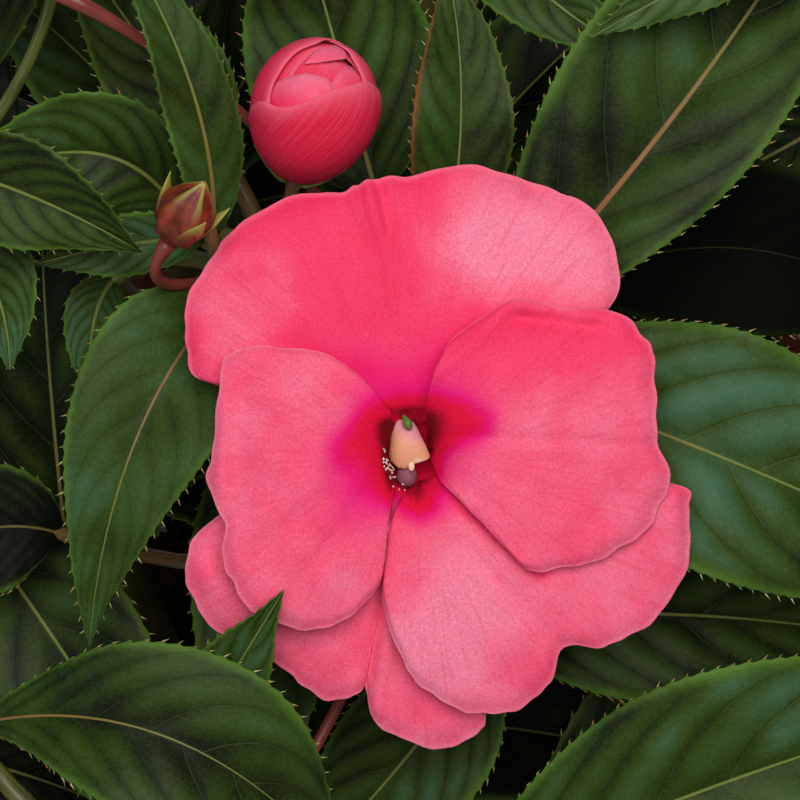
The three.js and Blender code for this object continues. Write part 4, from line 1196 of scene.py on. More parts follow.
# Each given leaf's shade is set to how dark it looks where it lies, so it paints shade or light as well as
# its tone; at -0.42 and -0.5 it paints a deep leaf nearly black.
PINK_RIB = LeafLook(shade=-0.11, pink=1.0, sky_sheen=0.9, rib=1.5, veins=0.8)
SHOOTS = (
    Shoot(
        "front_shoot", (1, -16), FRONT.place([2, 2, -26]), Rule(5, 0.4, 0.6, 74, 24, 84, end=0.78),
        (
            FrontLeaf(0.97, (9, 12, -19), (33, 44, -12), (58, 77, -30), 28, 0, 1.1, PINK_RIB, 0.15),
            FrontLeaf(
                0.95, (13, 8, -21), (46, -4.5, -14), (84, -22, -34), 31, 8,
                look=LeafLook(0.1, 0.4, sky_sheen=0.9, rib=0.8),
            ),
            FrontLeaf(0.9, (10, -23, -30), (38, -22.5, -31), (68, -27, -46), 23, look=LeafLook(-0.16)),
            FrontLeaf(0.88, (10, -27, -31), (-2, -43, -30), (-19, -62, -40), 20, look=LeafLook(-0.04)),
            FrontLeaf(
                0.98, (4.5, 24, -18), (6.6, 42.5, -12), (4.6, 61, -13), 13.2, -10,
                look=LeafLook(-0.04, 0.3, 0.95, rib=0.6, veins=0.6),
            ),
            FrontLeaf(
                0.92, (-4, 32, -26), (-9.5, 52, -27), (-16, 76, -38), 25, look=LeafLook(-0.08, 0.2, sky_sheen=0.1)
            ),
            FrontLeaf(
                0.84, (22, 21, -40), (47, 25, -37), (74, 13, -50), 24, look=LeafLook(-0.5, 0, rib=0.4)
            ),
            FrontLeaf(
                0.58, (-44.5, -11.6, -24), (-56, -11.5, -22), (-70, -19, -30), 17,
                look=LeafLook(-0.42, rib=0.6),
            ),
        ),
    ),
    Shoot(
        "bud_shoot", (-9, 6), FRONT.place([-19, 23, -19]), Rule(5, 0.42, 3.3, 74, 24, 84, end=0.8),
        (
            FrontLeaf(
                0.96, (-24.2, 17, -15), (-34.5, -1.5, -8), (-40.2, -26, -16), 20, 0, 0.55,
                LeafLook(0.15, 0.8, sky_sheen=0.75, rib=0.65, veins=0.4),
            ),
            FrontLeaf(
                0.98, (-24.6, 26, -15), (-27.2, 45, -6), (-38, 66, -5), 9.6, -22,
                look=LeafLook(0.04, 0.5, veins=0.6),
            ),
            FrontLeaf(
                0.93, (-29.5, 30, -24), (-41.5, 37, -19), (-60, 31, -26), 16.4, 10, look=LeafLook(-0.04, 0.1)
            ),
            FrontLeaf(
                0.9, (-25.5, 26.5, -21), (-37, 25, -17), (-47, 22.6, -16), 8, 15, look=LeafLook(0.04, 0.1)
            ),
            FrontLeaf(0.86, (-38, 21, -29), (-40.5, 15, -27), (-41, 5, -29), 8, look=LeafLook(0.06, 0.1)),
            FrontLeaf(0.9, (-24, 37, -28), (-33, 50, -28), (-46, 68, -34), 16, look=LeafLook(-0.1)),
        ),
    ),
    Shoot(
        "lower_left_shoot", (-27, -30), FRONT.place([-60, -42, -22]), Rule(7, 0.5, 2.4, 78, 25, 78),
        (
            FrontLeaf(
                0.96, (-55, -35.4, -13), (-29, -35.7, 1.5), (-7.7, -54, -13), 24, 12, 1.25,
                LeafLook(-0.05, 0.6, rib=0.6, veins=0.6),
            ),
            FrontLeaf(
                0.92, (-36, -50, -22), (-25, -33.5, -7), (-15, -17.4, 4.5), 14, look=LeafLook(0.0, 0.2)
            ),
            FrontLeaf(0.86, (-60, -41, -31), (-50, -43, -31), (-37, -49, -38), 15, look=LeafLook(-0.42)),
        ),
    ),
    Shoot(
        "upper_left_shoot", (-26, 9), FRONT.place([-60, 41, -22]), Rule(9, 0.45, 2.9, 76, 25, 74),
        (
            FrontLeaf(
                0.97, (-60, 35, -11), (-47, 31, -8), (-33.2, 24, -12), 14.5, -15,
                look=LeafLook(-0.15, 0.3, sky_sheen=0),
            ),
        ),
    ),
    Shoot(
        "top_shoot", (4, 12), FRONT.place([2, 84, -33]), Rule(9, 0.5, 0.4, 72, 24, 66),
        (FrontLeaf(0.96, (7, 72.5, -27), (15.5, 59, -21), (30, 49, -21), 13, look=LeafLook(0.0, 0.2)),),
    ),
    Shoot(
        "upper_right_shoot", (36, 0), FRONT.place([73, 66, -28]), Rule(8, 0.5, 5.9, 74, 25, 68),
        (
            FrontLeaf(
                0.97, (52, 66, -11), (36.5, 58, -5), (22.2, 50.1, -5), 8.5, 20, look=LeafLook(0.18, 0.1, 0.1)
            ),
            FrontLeaf(0.72, (60, 45, -52), (46, 37, -54), (30, 30, -62), 22, look=LeafLook(-0.2)),
        ),
    ),
    Shoot(
        "lower_shoot", (5, -40), FRONT.place([10, -66, -34]), Rule(6, 0.55, 5.2, 76, 25, 80),
        (
            FrontLeaf(
                0.97, (8, -58, -29), (40, -42.5, -15), (80, -32, -28), 31, -6, 1.05, LeafLook(0.04, 0.3)
            ),
        ),
    ),
    Shoot(
        "left_shoot", (-37, -9), FRONT.place([-72, 4, -32]), Rule(8, 0.5, 1.2, 78, 26, 78),
        (FrontLeaf(0.98, (-60, 27, -22), (-52.5, 20.5, -16), (-50.2, 9, -17), 13, look=LeafLook(0.0, 0.2)),),
    ),
    Shoot("right_shoot", (35, -14), np.array([84.0, -52, 196]), Rule(9, 0.5, 0.9, 80, 27, 76)),
    Shoot("right_back_shoot", (33, 18), np.array([82.0, 44, 210]), Rule(10, 0.5, 2.1, 82, 27, 76)),
    Shoot("back_shoot", (6, 38), np.array([14.0, 92, 214]), Rule(10, 0.5, 3.7, 82, 27, 76)),
    Shoot("left_back_shoot", (-26, 32), np.array([-62.0, 66, 218]), Rule(10, 0.5, 4.6, 80, 26, 76)),
    Shoot("far_left_shoot", (-42, 12), np.array([-104.0, 14, 188]), Rule(9, 0.5, 5.5, 80, 26, 76)),
)

# The ways that a leaf by rule may have been leaned, turned and sized to clear its neighbours.
LEANS = (0, -11, 11, -22, 22, -33)
TURNS = (0, 16, -16)
SIZES = (1, 0.8)
GOLDEN_TURN = 2.4


def rule_leaf(shoot: Shoot, i: int, lean: float, turn: float, scale: float) -> tuple[Array, ...]:
    """The leaf that a shoot's rule gives at one place.

    Args:
        shoot: the shoot.
        i: which of its leaves.
        lean: a change of its spread from the stem, in degrees.
        turn: a change of its turn round the stem, in degrees.
        scale: a share of its size.

    Returns:
        Its root on the stem, its midrib, the way that it faces and its width.
    """
    rule = shoot.rule
    share = i / (rule.count - 1)
    at = rule.start + (rule.end - rule.start) * share
    axis = unit(slope(shoot.path, at))
    across = unit(np.cross(axis, WORLD_UP))
    over = np.cross(across, axis)
    turned = rule.turn + GOLDEN_TURN * i + math.radians(turn)
    radial = across * math.cos(turned) + over * math.sin(turned)
    spread = math.radians(rule.spread + 16 * (1 - share) + lean)
    heading = axis * math.cos(spread) + radial * math.sin(spread)
    length = rule.length * (1 - 0.22 * share * share) * scale
    root = through(shoot.path, at)
    foot = root + heading * 0.17 * length
    lift = unit(axis + WORLD_UP)
    middle = foot + heading * 0.5 * length + lift * 0.05 * length
    tip = foot + heading * 0.97 * length - WORLD_UP * 0.14 * length
    return root, np.stack([foot, middle, tip]), lift, np.array(rule.width * (1 - 0.15 * share) * scale)


@dataclass
class Foliage:
    """The leafy stems, each with its leaves, their bristles, and the flower stalks that it bears."""

    palette: Palette
    stalks: dict[str, list[Tube]]
    sides: int = 14
    steps: int = 26
    fit: float = 0.05

    def build(self) -> None:
        """Builds every shoot in place of its solid."""
        for order, shoot in enumerate(SHOOTS):
            close, far = (LeafMaker(Draft(), cut) for cut in (CLOSE_CUT, FAR_CUT))
            far.draft = close.draft
            for leaf in self.given_leaves(shoot, 100 * order):
                close.add(leaf)
            for leaf in self.rule_leaves(shoot, 100 * order + 50):
                far.add(leaf)
            self.add_stem(close.draft, shoot)
            leaves = close.draft.make(f"{shoot.name}_leaves", self.palette.leaf, self.palette.stem)
            settle(leaves, "leaf", shoot.name)
            rows = np.concatenate(close.bristles + far.bristles)
            bristles = Bristles().grow(f"{shoot.name}_bristles", rows, self.palette.bristle)
            settle(bristles, "leaf", shoot.name)

    def given_leaves(self, shoot: Shoot, seed: int) -> Iterable[Leaf]:
        """The leaves of a shoot that the photo shows.

        Args:
            shoot: the shoot.
            seed: the seed of its first leaf.

        Returns:
            The leaves.
        """
        for i, given in enumerate(shoot.leaves):
            rib = np.stack([FRONT.place(p) for p in (given.foot, given.middle, given.tip)])
            root, roll = through(shoot.path, given.at), math.radians(given.roll)
            look = given.look
            yield Leaf(root, rib, FRONT.out, roll, given.width, given.belly, look, seed + i, given.skew)

    def rule_leaves(self, shoot: Shoot, seed: int) -> Iterable[Leaf]:
        """The leaves of a shoot by its rule, each as the solid has it, by where its tip is.

        Args:
            shoot: the shoot.
            seed: the seed of its first leaf.

        Returns:
            The leaves.
        """
        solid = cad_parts[shoot.name].data
        corners = np.zeros(len(solid.vertices) * 3, np.float32)
        solid.vertices.foreach_get("co", corners)
        corners = corners.reshape(-1, 3) / MM
        choices = [(lean, turn, scale) for scale in SIZES for turn in TURNS for lean in LEANS]
        for i in range(shoot.rule.count):
            rng = np.random.default_rng(seed + i)
            low = 1 - i / (shoot.rule.count - 1)
            # A random tone, darker the lower the leaf stands: partly as older leaves are, partly as painted
            # shade deep in the plant.
            shade = rng.uniform(-0.1, 0.06) - 0.35 * low
            look = LeafLook(shade, rng.uniform(0.1, 0.8), rng.uniform(0, 0.15))
            for choice in choices:
                root, rib, facing, width = rule_leaf(shoot, i, *choice)
                if np.abs(corners - rib[2]).max(axis=1).min() < self.fit:
                    yield Leaf(root, rib, facing, 0.0, float(width), 0.8, look, seed + i)
                    break

    def add_stem(self, draft: Draft, shoot: Shoot) -> None:
        """Adds the stem, swollen at its leaf joints, and the flower stalks that it bears.

        Args:
            draft: the draft that it is added to.
            shoot: the shoot.
        """
        s = np.linspace(0, 1, self.steps)
        rng = np.random.default_rng(len(shoot.name))
        joints = 1 + 0.1 * np.maximum(0, np.sin(FULL_TURN * (7 * s + rng.uniform()))) ** 4
        radii = (STEM_FOOT + (STEM_TIP - STEM_FOOT) * s) * joints
        points, faces, facts = tube(through(shoot.path, s), radii, self.sides)
        facts[:, 2] = rng.uniform(0.1, 0.5)
        draft.add(points, faces, slot=1, place=facts)
        for points, faces, facts in self.stalks.get(shoot.name, []):
            draft.add(points, faces, slot=1, place=facts)


# Blooms.


@dataclass(frozen=True)
class Crease:
    """A ridge, furrow, patch or stain of a petal, along a line in the bloom's plane."""

    start: Spot
    end: Spot
    height: float
    width: float

    def lift(self, flat: Array) -> Array:
        """How far it lifts the petal at some places.

        Args:
            flat: the places, in the bloom's plane.

        Returns:
            The lift of each, in millimetres.
        """
        start, end = np.array(self.start), np.array(self.end)
        run = end - start
        share = np.clip((flat - start) @ run / (run @ run), 0, 1)
        off = np.linalg.norm(flat - (start + share[..., None] * run), axis=-1)
        return self.height * np.exp(-((off / self.width) ** 2)) * (1 - 0.35 * share)


@dataclass(frozen=True)
class Petal:
    """One petal: its claw, how far out it lies, its outline, tone, stain, creases, and painted light and
    shade.
    """

    claw: Spot
    layer: float
    outline: tuple[Spot, ...]
    # A petal's tone and patches also paint light and shade: paler where light falls on it, darker under the
    # edges of the petals over it and under its own fold.
    tone: float = 0.0
    blush: float = 9.0
    deep: float = 0.5
    creases: tuple[Crease, ...] = ()
    patches: tuple[Crease, ...] = ()
    stains: tuple[Crease, ...] = ()


# The five petals, in millimetres right and up from a point a little left of the throat.
PETALS = (
    Petal(
        (0.8, 1.6),
        -0.9,
        (
            (-12, 6.3), (-25, 7.3), (-26.7, 11), (-27.1, 14.6), (-26.2, 18.9), (-23.2, 23.2), (-20.5, 26.6),
            (-12.8, 30.3), (-7.3, 30.5), (-4.9, 32), (-0.6, 32.3), (6.7, 33.8), (13.4, 32.6), (18.9, 30.5),
            (22.6, 28.9), (26, 23.2), (25, 16.1), (12, 6.4),
        ),
        tone=-0.15,
        blush=14.5,
        deep=0.38,
        stains=(Crease((-1.8, 3.7), (2.2, 3.9), 0.4, 0.9),),
        # Painted light on the standard's right and left, and painted shade under the side petals' upper
        # edges.
        patches=(
            Crease((12, 24), (23, 22), 0.75, 7.5),
            Crease((-20, 14), (-22, 20), 0.3, 6),
            Crease((2.8, 7.2), (8.6, 14.6), -0.4, 1.4),
            Crease((-4.4, 8.2), (-13, 11.8), -0.3, 1.4),
        ),
        creases=(
            Crease((-4.9, 32.4), (-3.0, 25.5), 0.9, 0.8),
            Crease((-3.4, 31.5), (-1.9, 25), -0.7, 0.7),
            Crease((-22.8, 24), (-17.5, 23.2), -0.5, 0.9),
            Crease((-4, 24), (0.5, 8), -0.7, 3.6),
            Crease((10.2, 25), (13, 27.2), -0.35, 0.5),
            Crease((15, 31), (19, 28), -0.5, 0.8),
        ),
    ),
    Petal(
        (-1.0, -1.8),
        2.0,
        (
            (-1.8, 3.6), (-5.5, 7.9), (-10.4, 10.7), (-15.3, 11.3), (-20.1, 11.2), (-22, 9.8), (-22.7, 6.7),
            (-23.2, 0), (-24.2, -4.3), (-22.3, -9.8), (-22.1, -14.6), (-20.7, -18.3), (-18.3, -21),
            (-14.6, -22.6), (-10.4, -23.2), (-6.7, -21.4), (-3.7, -18.5), (-2.7, -15.4), (-1.8, -7.3),
        ),
        tone=0.1,
        blush=9.5,
        stains=(Crease((-2.1, 1.5), (-1.9, -6), 0.4, 0.95), Crease((-3.6, 1.6), (-7.3, -0.8), 0.32, 2.5)),
        creases=(
            Crease((-22.3, 8), (-22.6, -9), 0.9, 1.3),
            Crease((-19.8, 6), (-20.4, -6), -0.4, 1.6),
            Crease((-19, -14), (-7, -4), -0.3, 1.4),
            Crease((-14, -19), (-5.5, -7), -0.25, 1.1),
            Crease((-13, 3), (-14, -3), 0.5, 5),
        ),
    ),
    Petal(
        (3.0, -1.4),
        2.7,
        (
            (2.7, 5.0), (3.6, 8.5), (5.7, 12.2), (9.2, 14.9), (14, 17.2), (20.1, 16.1), (26.8, 15.3),
            (29.3, 12.2), (30.6, 9.8), (30.5, 4.9), (31.0, 0.1), (32.3, -4.9), (31.1, -8.5), (28.7, -11.6),
            (25, -14), (20.7, -15.3), (16.5, -16), (14, -14.9), (10.4, -11), (6.7, -7.3), (4.4, -5.2),
        ),
        tone=0.1,
        blush=8.5,
        # Painted shade under the fold of the upper edge.
        patches=(Crease((9, 13), (28, 12), -0.3, 4.5),),
        stains=(Crease((3.6, 3.0), (9, 1.9), 0.35, 2.5), Crease((4.4, -3.5), (6.5, -7), -0.3, 2.4)),
        creases=(
            Crease((13.5, 16.6), (26, 15), 1.0, 0.9),
            Crease((13.4, 14.9), (23.5, 13.6), -1.0, 1.2),
            Crease((6, 0.6), (31, -0.6), -0.4, 0.9),
            Crease((4, 8), (12, 15.4), 0.5, 0.9),
            Crease((18, 6), (20, -8), 0.4, 6),
        ),
    ),
    Petal(
        (1.7, -5.2),
        0.6,
        (
            (-0.9, -8.0), (-2.2, -12.2), (-2.7, -19.5), (-0.6, -26.2), (1, -29), (4, -31.8), (7.9, -33.4),
            (11.6, -33.7), (15.3, -32.3), (17.7, -29.9), (19.5, -25.6), (23.8, -25.4), (27.5, -24.2),
            (31.1, -21.6), (34.2, -17.1), (35.1, -12.2), (34.8, -8.5), (33.6, -5.5), (18, -3.2), (6.4, -3.8),
        ),
        tone=0.0,
        blush=6.5,
        # Painted light in two broad patches, and painted shade under the right side petal's lower edge.
        patches=(
            Crease((4, -26), (10, -17), 0.5, 8),
            Crease((26, -19), (32, -12), 0.2, 6),
            Crease((5.6, -5.6), (16.5, -16), -0.55, 1.4),
        ),
        stains=(Crease((1.2, -7.2), (4.8, -8.6), 0.22, 1.9),),
        creases=(
            Crease((19.3, -25.8), (7, -12.5), -0.6, 1.2),
            Crease((33, -7), (33.5, -17), 0.5, 1.2),
            Crease((2, -26), (2.5, -12), 0.5, 3.4),
        ),
    ),
    Petal(
        (-0.2, -5.0),
        -2.4,
        (
            (-7.6, -3.2), (-20, -7.6), (-25, -11), (-26.6, -13.4), (-27.1, -16.5), (-26.2, -19.5),
            (-24.4, -22.6), (-20.1, -25.6), (-15.3, -27.8), (-12.8, -30.5), (-9.2, -32.1), (-6.1, -31.7),
            (-5, -30.3), (-3.7, -34.8), (-0.6, -36.8), (3, -38.2), (6.7, -37.8), (9.2, -36), (10.1, -33.7),
            (10, -24), (3.4, -10.6),
        ),
        tone=0.1,
        blush=6,
        creases=(
            Crease((-4.9, -31), (-2.6, -18), -1.1, 1.0),
            Crease((-3.4, -33.5), (-1.6, -20), 0.6, 0.8),
            Crease((-25.5, -15), (-20, -21), 0.5, 1.4),
        ),
    ),
)
OUTLINE_SHIFT = np.array([-0.37, 0.61])
THROAT = {"middle": np.array([0.5, -1.2]), "wide": 0.92, "tall": 1.45, "radius": 3.6, "fade": 6.0}
PETAL = {"throat": 6.0, "droop": 3.2, "reach": 33.0, "root": 0.12}
STREAKS = 95


def throat_distance(flat: Array) -> tuple[Array, Array]:
    """How far places are from the throat's middle.

    Args:
        flat: the places, in the bloom's plane.

    Returns:
        The distance in millimetres, and as a share of the throat's opening.
    """
    off = flat - THROAT["middle"]
    away = np.hypot(off[..., 0], off[..., 1])
    inner = np.hypot(off[..., 0] / THROAT["wide"], off[..., 1] / THROAT["tall"]) / THROAT["radius"]
    return away, inner


def petal_out(flat: Array, layer: float) -> Array:
    """How far a petal of a layer stands out: it dips into the throat and bends back at its rim."""
    away, inner = throat_distance(flat)
    rise = layer * (1 - np.exp(-((away / THROAT["fade"]) ** 2)))
    return rise - PETAL["throat"] * np.exp(-inner * inner) - PETAL["droop"] * (away / PETAL["reach"]) ** 2


@dataclass(frozen=True)
class PetalCut:
    """How finely petals are cut: the points along a rim and from claw to rim."""

    columns: int
    rings: int
    thick: float = 0.24
    rim: float = 0.07


# The hood from its top down: the height, left edge, right edge and depth of each of its rings.
HOOD = (
    (3.1, -1.2, 0.2, 0.7), (2.7, -1.55, 0.75, 1.1), (2.07, -1.85, 1.15, 1.5), (1.1, -2.1, 1.6, 1.8),
    (0.12, -2.2, 2.1, 1.95), (-0.85, -2.28, 2.5, 1.95), (-1.35, -2.28, 2.7, 1.88), (-1.7, -2.24, 2.66, 1.75),
    (-1.92, -2.15, 2.1, 1.6), (-2.1, -2.05, 1.0, 1.45), (-2.35, -1.85, 0.7, 1.2), (-2.62, -1.5, 0.2, 1.0),
)


@dataclass(frozen=True)
class Bloom:
    """One open bloom: where it stands, its size, its shoot, and how its stalk and spur run."""

    name: str
    at: float
    stance: Stance
    size: float
    bend: int
    cut: PetalCut
    seed: int
    via: Array | None = None
    ruddy: float = 0.55
    cup_mouth: float = 5.0
    cup_wall: float = 0.9
    cup_sides: int = 28
    cup_rings: int = 9
    cup_seat: Place = (0.3, 0.9, -6.1)
    seat: float = 0.6
    sepal: float = 7.0
    sepal_radii: tuple[float, ...] = (0.5, 1.1, 1.55, 1.75, 1.7, 1.45, 1.1, 0.65, 0.15)
    stalk: float = 0.9
    spur: tuple[Place, ...] = ((0.6, -2.4, -7.2), (4.8, -16.8, -15), (12, -28, -12))
    spur_radii: tuple[float, float] = (1.25, 0.5)

    @property
    def shoot(self) -> str:
        """The shoot that it grows on."""
        return f"{self.name}_shoot"

    def place(self, local: Array) -> Array:
        """Turns points of a bloom of full size into points of the part."""
        return self.stance.place(np.asarray(local, float) * self.size)

    def build(self, palette: Palette) -> None:
        """Builds the bloom in place of its solids, and dresses it.

        Args:
            palette: the finishes.
        """
        draft = Draft()
        for k, petal in enumerate(PETALS):
            self.add_petal(draft, petal, np.random.default_rng(10 * self.seed + k))
        self.add_cup(draft)
        self.add_spur(draft)
        petals = draft.make(f"{self.name}_petals", palette.petal, palette.stem)
        settle(petals, "petal", f"{self.name}_bloom")
        self.build_column(palette)

    def add_petal(self, draft: Draft, petal: Petal, rng: Random) -> None:
        """Adds one petal, fanned out from its claw.

        Args:
            draft: the bloom's draft.
            petal: the petal.
            rng: the petal's own random numbers.
        """
        cut = self.cut
        u = np.linspace(0, 1, cut.columns)
        r = 1 - (1 - np.linspace(0, 1, cut.rings + 1)[1:]) ** 1.5
        rim = self.rim(petal, u, rng)
        claw = np.array(petal.claw) + OUTLINE_SHIFT
        flat = claw + (rim[None] - claw) * r[:, None, None]
        r, u = r[:, None], u[None, :]
        phases = rng.uniform(0, FULL_TURN, 6)
        lift = petal_out(flat, petal.layer) + self.relief(flat, r, u, phases)
        for crease in petal.creases:
            lift = lift + crease.lift(flat - OUTLINE_SHIFT)
        wall = cut.thick + (cut.rim - cut.thick) * smooth(r, 0.9, 1) + 0 * u
        local = np.concatenate([flat, lift[..., None]], axis=-1)
        normal = self.normals(local)
        over, under = (self.place(local + hand * normal * wall[..., None]) for hand in (1, -1))
        foot = np.append(claw, petal_out(claw, petal.layer) - PETAL["root"])
        heel = cut.thick * unit(normal[0].mean(axis=0))
        points, faces = shell(over, under, self.place(np.stack([foot + heel, foot - heel])))
        rim_u = (u - 0.5) * np.ones_like(r)
        place = columns(rim_u * STREAKS + self.seed * 7, r * 3, r)
        mask = self.colours(petal, flat, petal.blush * (1 + 0.18 * np.sin(9 * rim_u + phases[5])))
        ends = np.repeat(mask[:1].mean(axis=1), 2, axis=0)
        draft.add(points, faces, place=listed(place, place, 0 * ends), mask=listed(mask, mask, ends))

    def rim(self, petal: Petal, u: Array, rng: Random) -> Array:
        """The petal's rim as a smooth line through its outline, with small shallow notches."""
        rim = spline(np.array(petal.outline) + OUTLINE_SHIFT, u)
        notch = 0.22 * np.sin(FULL_TURN * (11 * u + rng.uniform())) + 0.13 * np.sin(FULL_TURN * 23 * u)
        return rim + (unit(rim - rim.mean(axis=0)).T * notch * np.sin(np.pi * u)).T

    def relief(self, flat: Array, r: Array, u: Array, phases: Array) -> Array:
        """A petal's soft relief.

        Args:
            flat: the petal's points in the bloom's plane.
            r: their share of the way from the claw to the rim.
            u: their share of the way along the rim.
            phases: where its waves start.

        Returns:
            The lift of its folds, its ruffled and curled rim, its puffed middle and its dents.
        """
        away = throat_distance(flat)[0]
        folds = 0.16 * np.sin(FULL_TURN * 9 * u + phases[0]) * smooth(r, 0.25, 0.7) * (1.1 - r)
        ruffle = np.sin(FULL_TURN * 2.6 * u + phases[1]) + 0.45 * np.sin(FULL_TURN * 6.1 * u + phases[2])
        ruffle = 0.42 * ruffle * smooth(r, 0.6, 1) * np.sin(np.pi * u) ** 0.5
        puff = 0.5 * np.sin(np.pi * u) * np.sin(np.pi * r**1.6)
        curl = -0.45 * smooth(r, 0.9, 1) ** 2
        dents = 0.12 * np.sin(flat[..., 0] * 0.9 + phases[3]) * np.sin(flat[..., 1] * 0.8 + phases[4])
        return folds + ruffle + puff * (away > 0) + curl + dents * smooth(away, 5, 12)

    def colours(self, petal: Petal, flat: Array, spread: Array) -> Array:
        """How deeply each place of a petal is stained, by a stain this wide, and its tone with painted light
        and shade.

        Args:
            petal: the petal.
            flat: the places, in the bloom's plane.
            spread: how wide the throat's stain is.

        Returns:
            The stain, the tone and 0 of each place.
        """
        blush = self.blush(flat, spread, petal.deep)
        tone = 0.3 + petal.tone + 0 * blush
        for stain in petal.stains:
            blush = blush + stain.lift(flat - OUTLINE_SHIFT)
        # Patches paint light and shade into the tone.
        for patch in petal.patches:
            tone = tone + patch.lift(flat - OUTLINE_SHIFT)
        return columns(np.clip(blush, 0, 1), tone, 0.0)

    def blush(self, flat: Array, spread: Array, deep: float) -> Array:
        """How deeply a petal is stained near the throat: wide and magenta, then dark inside, partly as
        painted shade.
        """
        away, inner = throat_distance(flat)
        return deep * np.exp(-((away / spread) ** 2)) + 0.5 * np.exp(-((inner / 1.22) ** 4))

    def normals(self, local: Array) -> Array:
        """The directions out of a petal's face at the points of its grid."""
        down, across = np.gradient(local, axis=0), np.gradient(local, axis=1)
        out = np.cross(across, down)
        out *= np.where(out[..., 2:] < 0, -1, 1)
        return out / np.maximum(np.linalg.norm(out, axis=-1, keepdims=True), 1e-9)

    def add_cup(self, draft: Draft) -> None:
        """Adds the cup behind the throat, which the claws stand in.

        Args:
            draft: the draft that it is added to.
        """
        turn = np.linspace(0, FULL_TURN, self.cup_sides + 1)[None, :-1]
        share = np.linspace(0.04, 1, self.cup_rings)[:, None]
        radius = self.cup_mouth * share
        depth = -PETAL["throat"] * np.exp(-((radius / THROAT["radius"]) ** 2)) - 0.45 - 1.2 * share**2
        walls = []
        for back in (0, self.cup_wall):
            x = THROAT["middle"][0] + (radius * THROAT["wide"] + back * 0.5 * share) * np.cos(turn)
            y = THROAT["middle"][1] + (radius * THROAT["tall"] + back * 0.5 * share) * np.sin(turn)
            walls.append(columns(x, y, depth - back))
        points, faces = capped(np.concatenate([walls[0], walls[1][::-1]]))
        # The cup takes the throat's red, a little towards its shaded crimson.
        mask, place = even_fact(points, 0.68, 0.2, 0), even_fact(points, 0, 0, 0.3)
        draft.add(self.place(points), faces, mask=mask, place=place)

    def add_spur(self, draft: Draft) -> None:
        """Adds the long thin spur that the cup ends in.

        Args:
            draft: the draft that it is added to.
        """
        curve = np.array(self.spur)
        curve[1:, 0] *= self.bend
        path = self.place(through(curve, np.linspace(0, 1, 18)))
        points, faces, facts = tube(path, np.linspace(*self.spur_radii, 18) * self.size, 10)
        facts[:, 2] = 0.95
        draft.add(points, faces, slot=1, place=facts)

    def stalks(self) -> list[Tube]:
        """The bloom's stalk, with its two small sepals.

        Returns:
            A tube for each.
        """
        share = np.linspace(0, 1, 20)
        seat = self.place(self.cup_seat) - self.stance.way([0, 0, self.seat])
        path = stalk_path(self.shoot, self.at, self.stance, seat, self.via)
        radii = self.stalk * self.size * (1 + 0.7 * smooth(share, 0.88, 1))
        rows = [ruddy_tube(through(path, share), radii, self.ruddy)]
        foot = seat - unit(slope(path, 1.0)) * 1.6
        radii = np.array(self.sepal_radii) * self.size
        for side in (-self.sepal, self.sepal):
            bow = np.array([[0, 0, 0], [0.5 * side, 1.4, -0.9], [side, 3, -0.6]])
            line = foot + self.stance.way(through(bow, np.linspace(0, 1, 9))) * self.size
            rows.append(ruddy_tube(line, radii, 0.1, flatten=0.22, across=self.stance.up))
        return rows

    def build_column(self, palette: Palette) -> None:
        """Builds the hood over the pistil, its green tip, and the grey body with its pollen.

        Args:
            palette: the finishes.
        """
        draft = Draft()
        self.add_hood(draft)
        tip = np.array([[0.3, 1.9, -0.75], [-0.1, 2.7, -0.6], [-0.6, 3.7, -1.1]])
        foot = np.array([[*THROAT["middle"], -5.4], [0.55, -1.4, -4.0], [0.35, -0.8, -2.0]])
        for line, radii, sides, green, grey in (
            (tip, (0.15, 0.4, 0.55, 0.6, 0.55, 0.42, 0.28, 0.1), 8, 1.0, 0.0),
            (foot, (0.85,) * 6, 10, 0.0, 0.7),
        ):
            path = self.place(through(line, np.linspace(0, 1, len(radii))))
            points, faces, _ = tube(path, np.array(radii) * self.size, sides)
            draft.add(points, faces, mask=even_fact(points, grey, green, 0))
        ball = self.ball(22, 14)
        x, y, z = np.moveaxis(ball, -1, 0)
        bumps = 1 + 0.07 * np.sin(9 * x + 1) * np.sin(8 * y)
        bumps = bumps + 0.07 * np.sin(11 * z + 4 * x) * np.sin(10 * y + 2)
        body, faces = capped(ball * bumps[..., None] * [1.25, 1.5, 1.1] + [-0.15, -3.7, -2.7])
        draft.add(self.place(body), faces, mask=even_fact(body, 0, 0, 1))
        lobe, faces = capped(self.ball(12, 8) * [0.4, 0.62, 0.35] + [0.42, -2.62, -1.15])
        # The lobe takes the lip's painted highlight.
        draft.add(self.place(lobe), faces, tint=even_fact(lobe, 1, 0, 0))
        settle(draft.make(f"{self.name}_hood", palette.hood), "column", f"{self.name}_column")
        if self.name == "front":
            self.dust(palette)

    def add_hood(self, draft: Draft) -> None:
        """Adds the hood: a flat beak to the right, and a flap folded in at its left, painted darker as
        shade.

        Args:
            draft: the draft that it is added to.
        """
        height, left, right, depth = (column[:, None] for column in np.array(HOOD).T)
        turn = np.linspace(0, FULL_TURN, 49)[None, :-1]
        bow = np.sign(np.cos(turn)) * np.abs(np.cos(turn)) ** 0.85
        x = (left + right) / 2 + (right - left) / 2 * bow
        lip = 0.12 * smooth(height, 0.1, -1.9) * np.cos(2 * turn + 0.6)
        y = height + lip - 0.3 * smooth(height, -0.8, -2.6) * np.sin(turn)
        edge = x - left
        fold = 0.2 * np.exp(-(((edge - 0.66) / 0.14) ** 2)) * (np.sin(turn) > 0)
        z = -1.75 - 0.14 * np.abs(height - 0.1) + 0.62 * depth * np.sin(turn) - fold
        points, faces = capped(columns(x, y, z))
        pink = smooth(y + 0.4 * x, -0.6, 2.6)
        # A painted highlight on the lower right lip.
        light = smooth(y, -1.45, -1.8) * smooth(x, 0.5, 1.0)
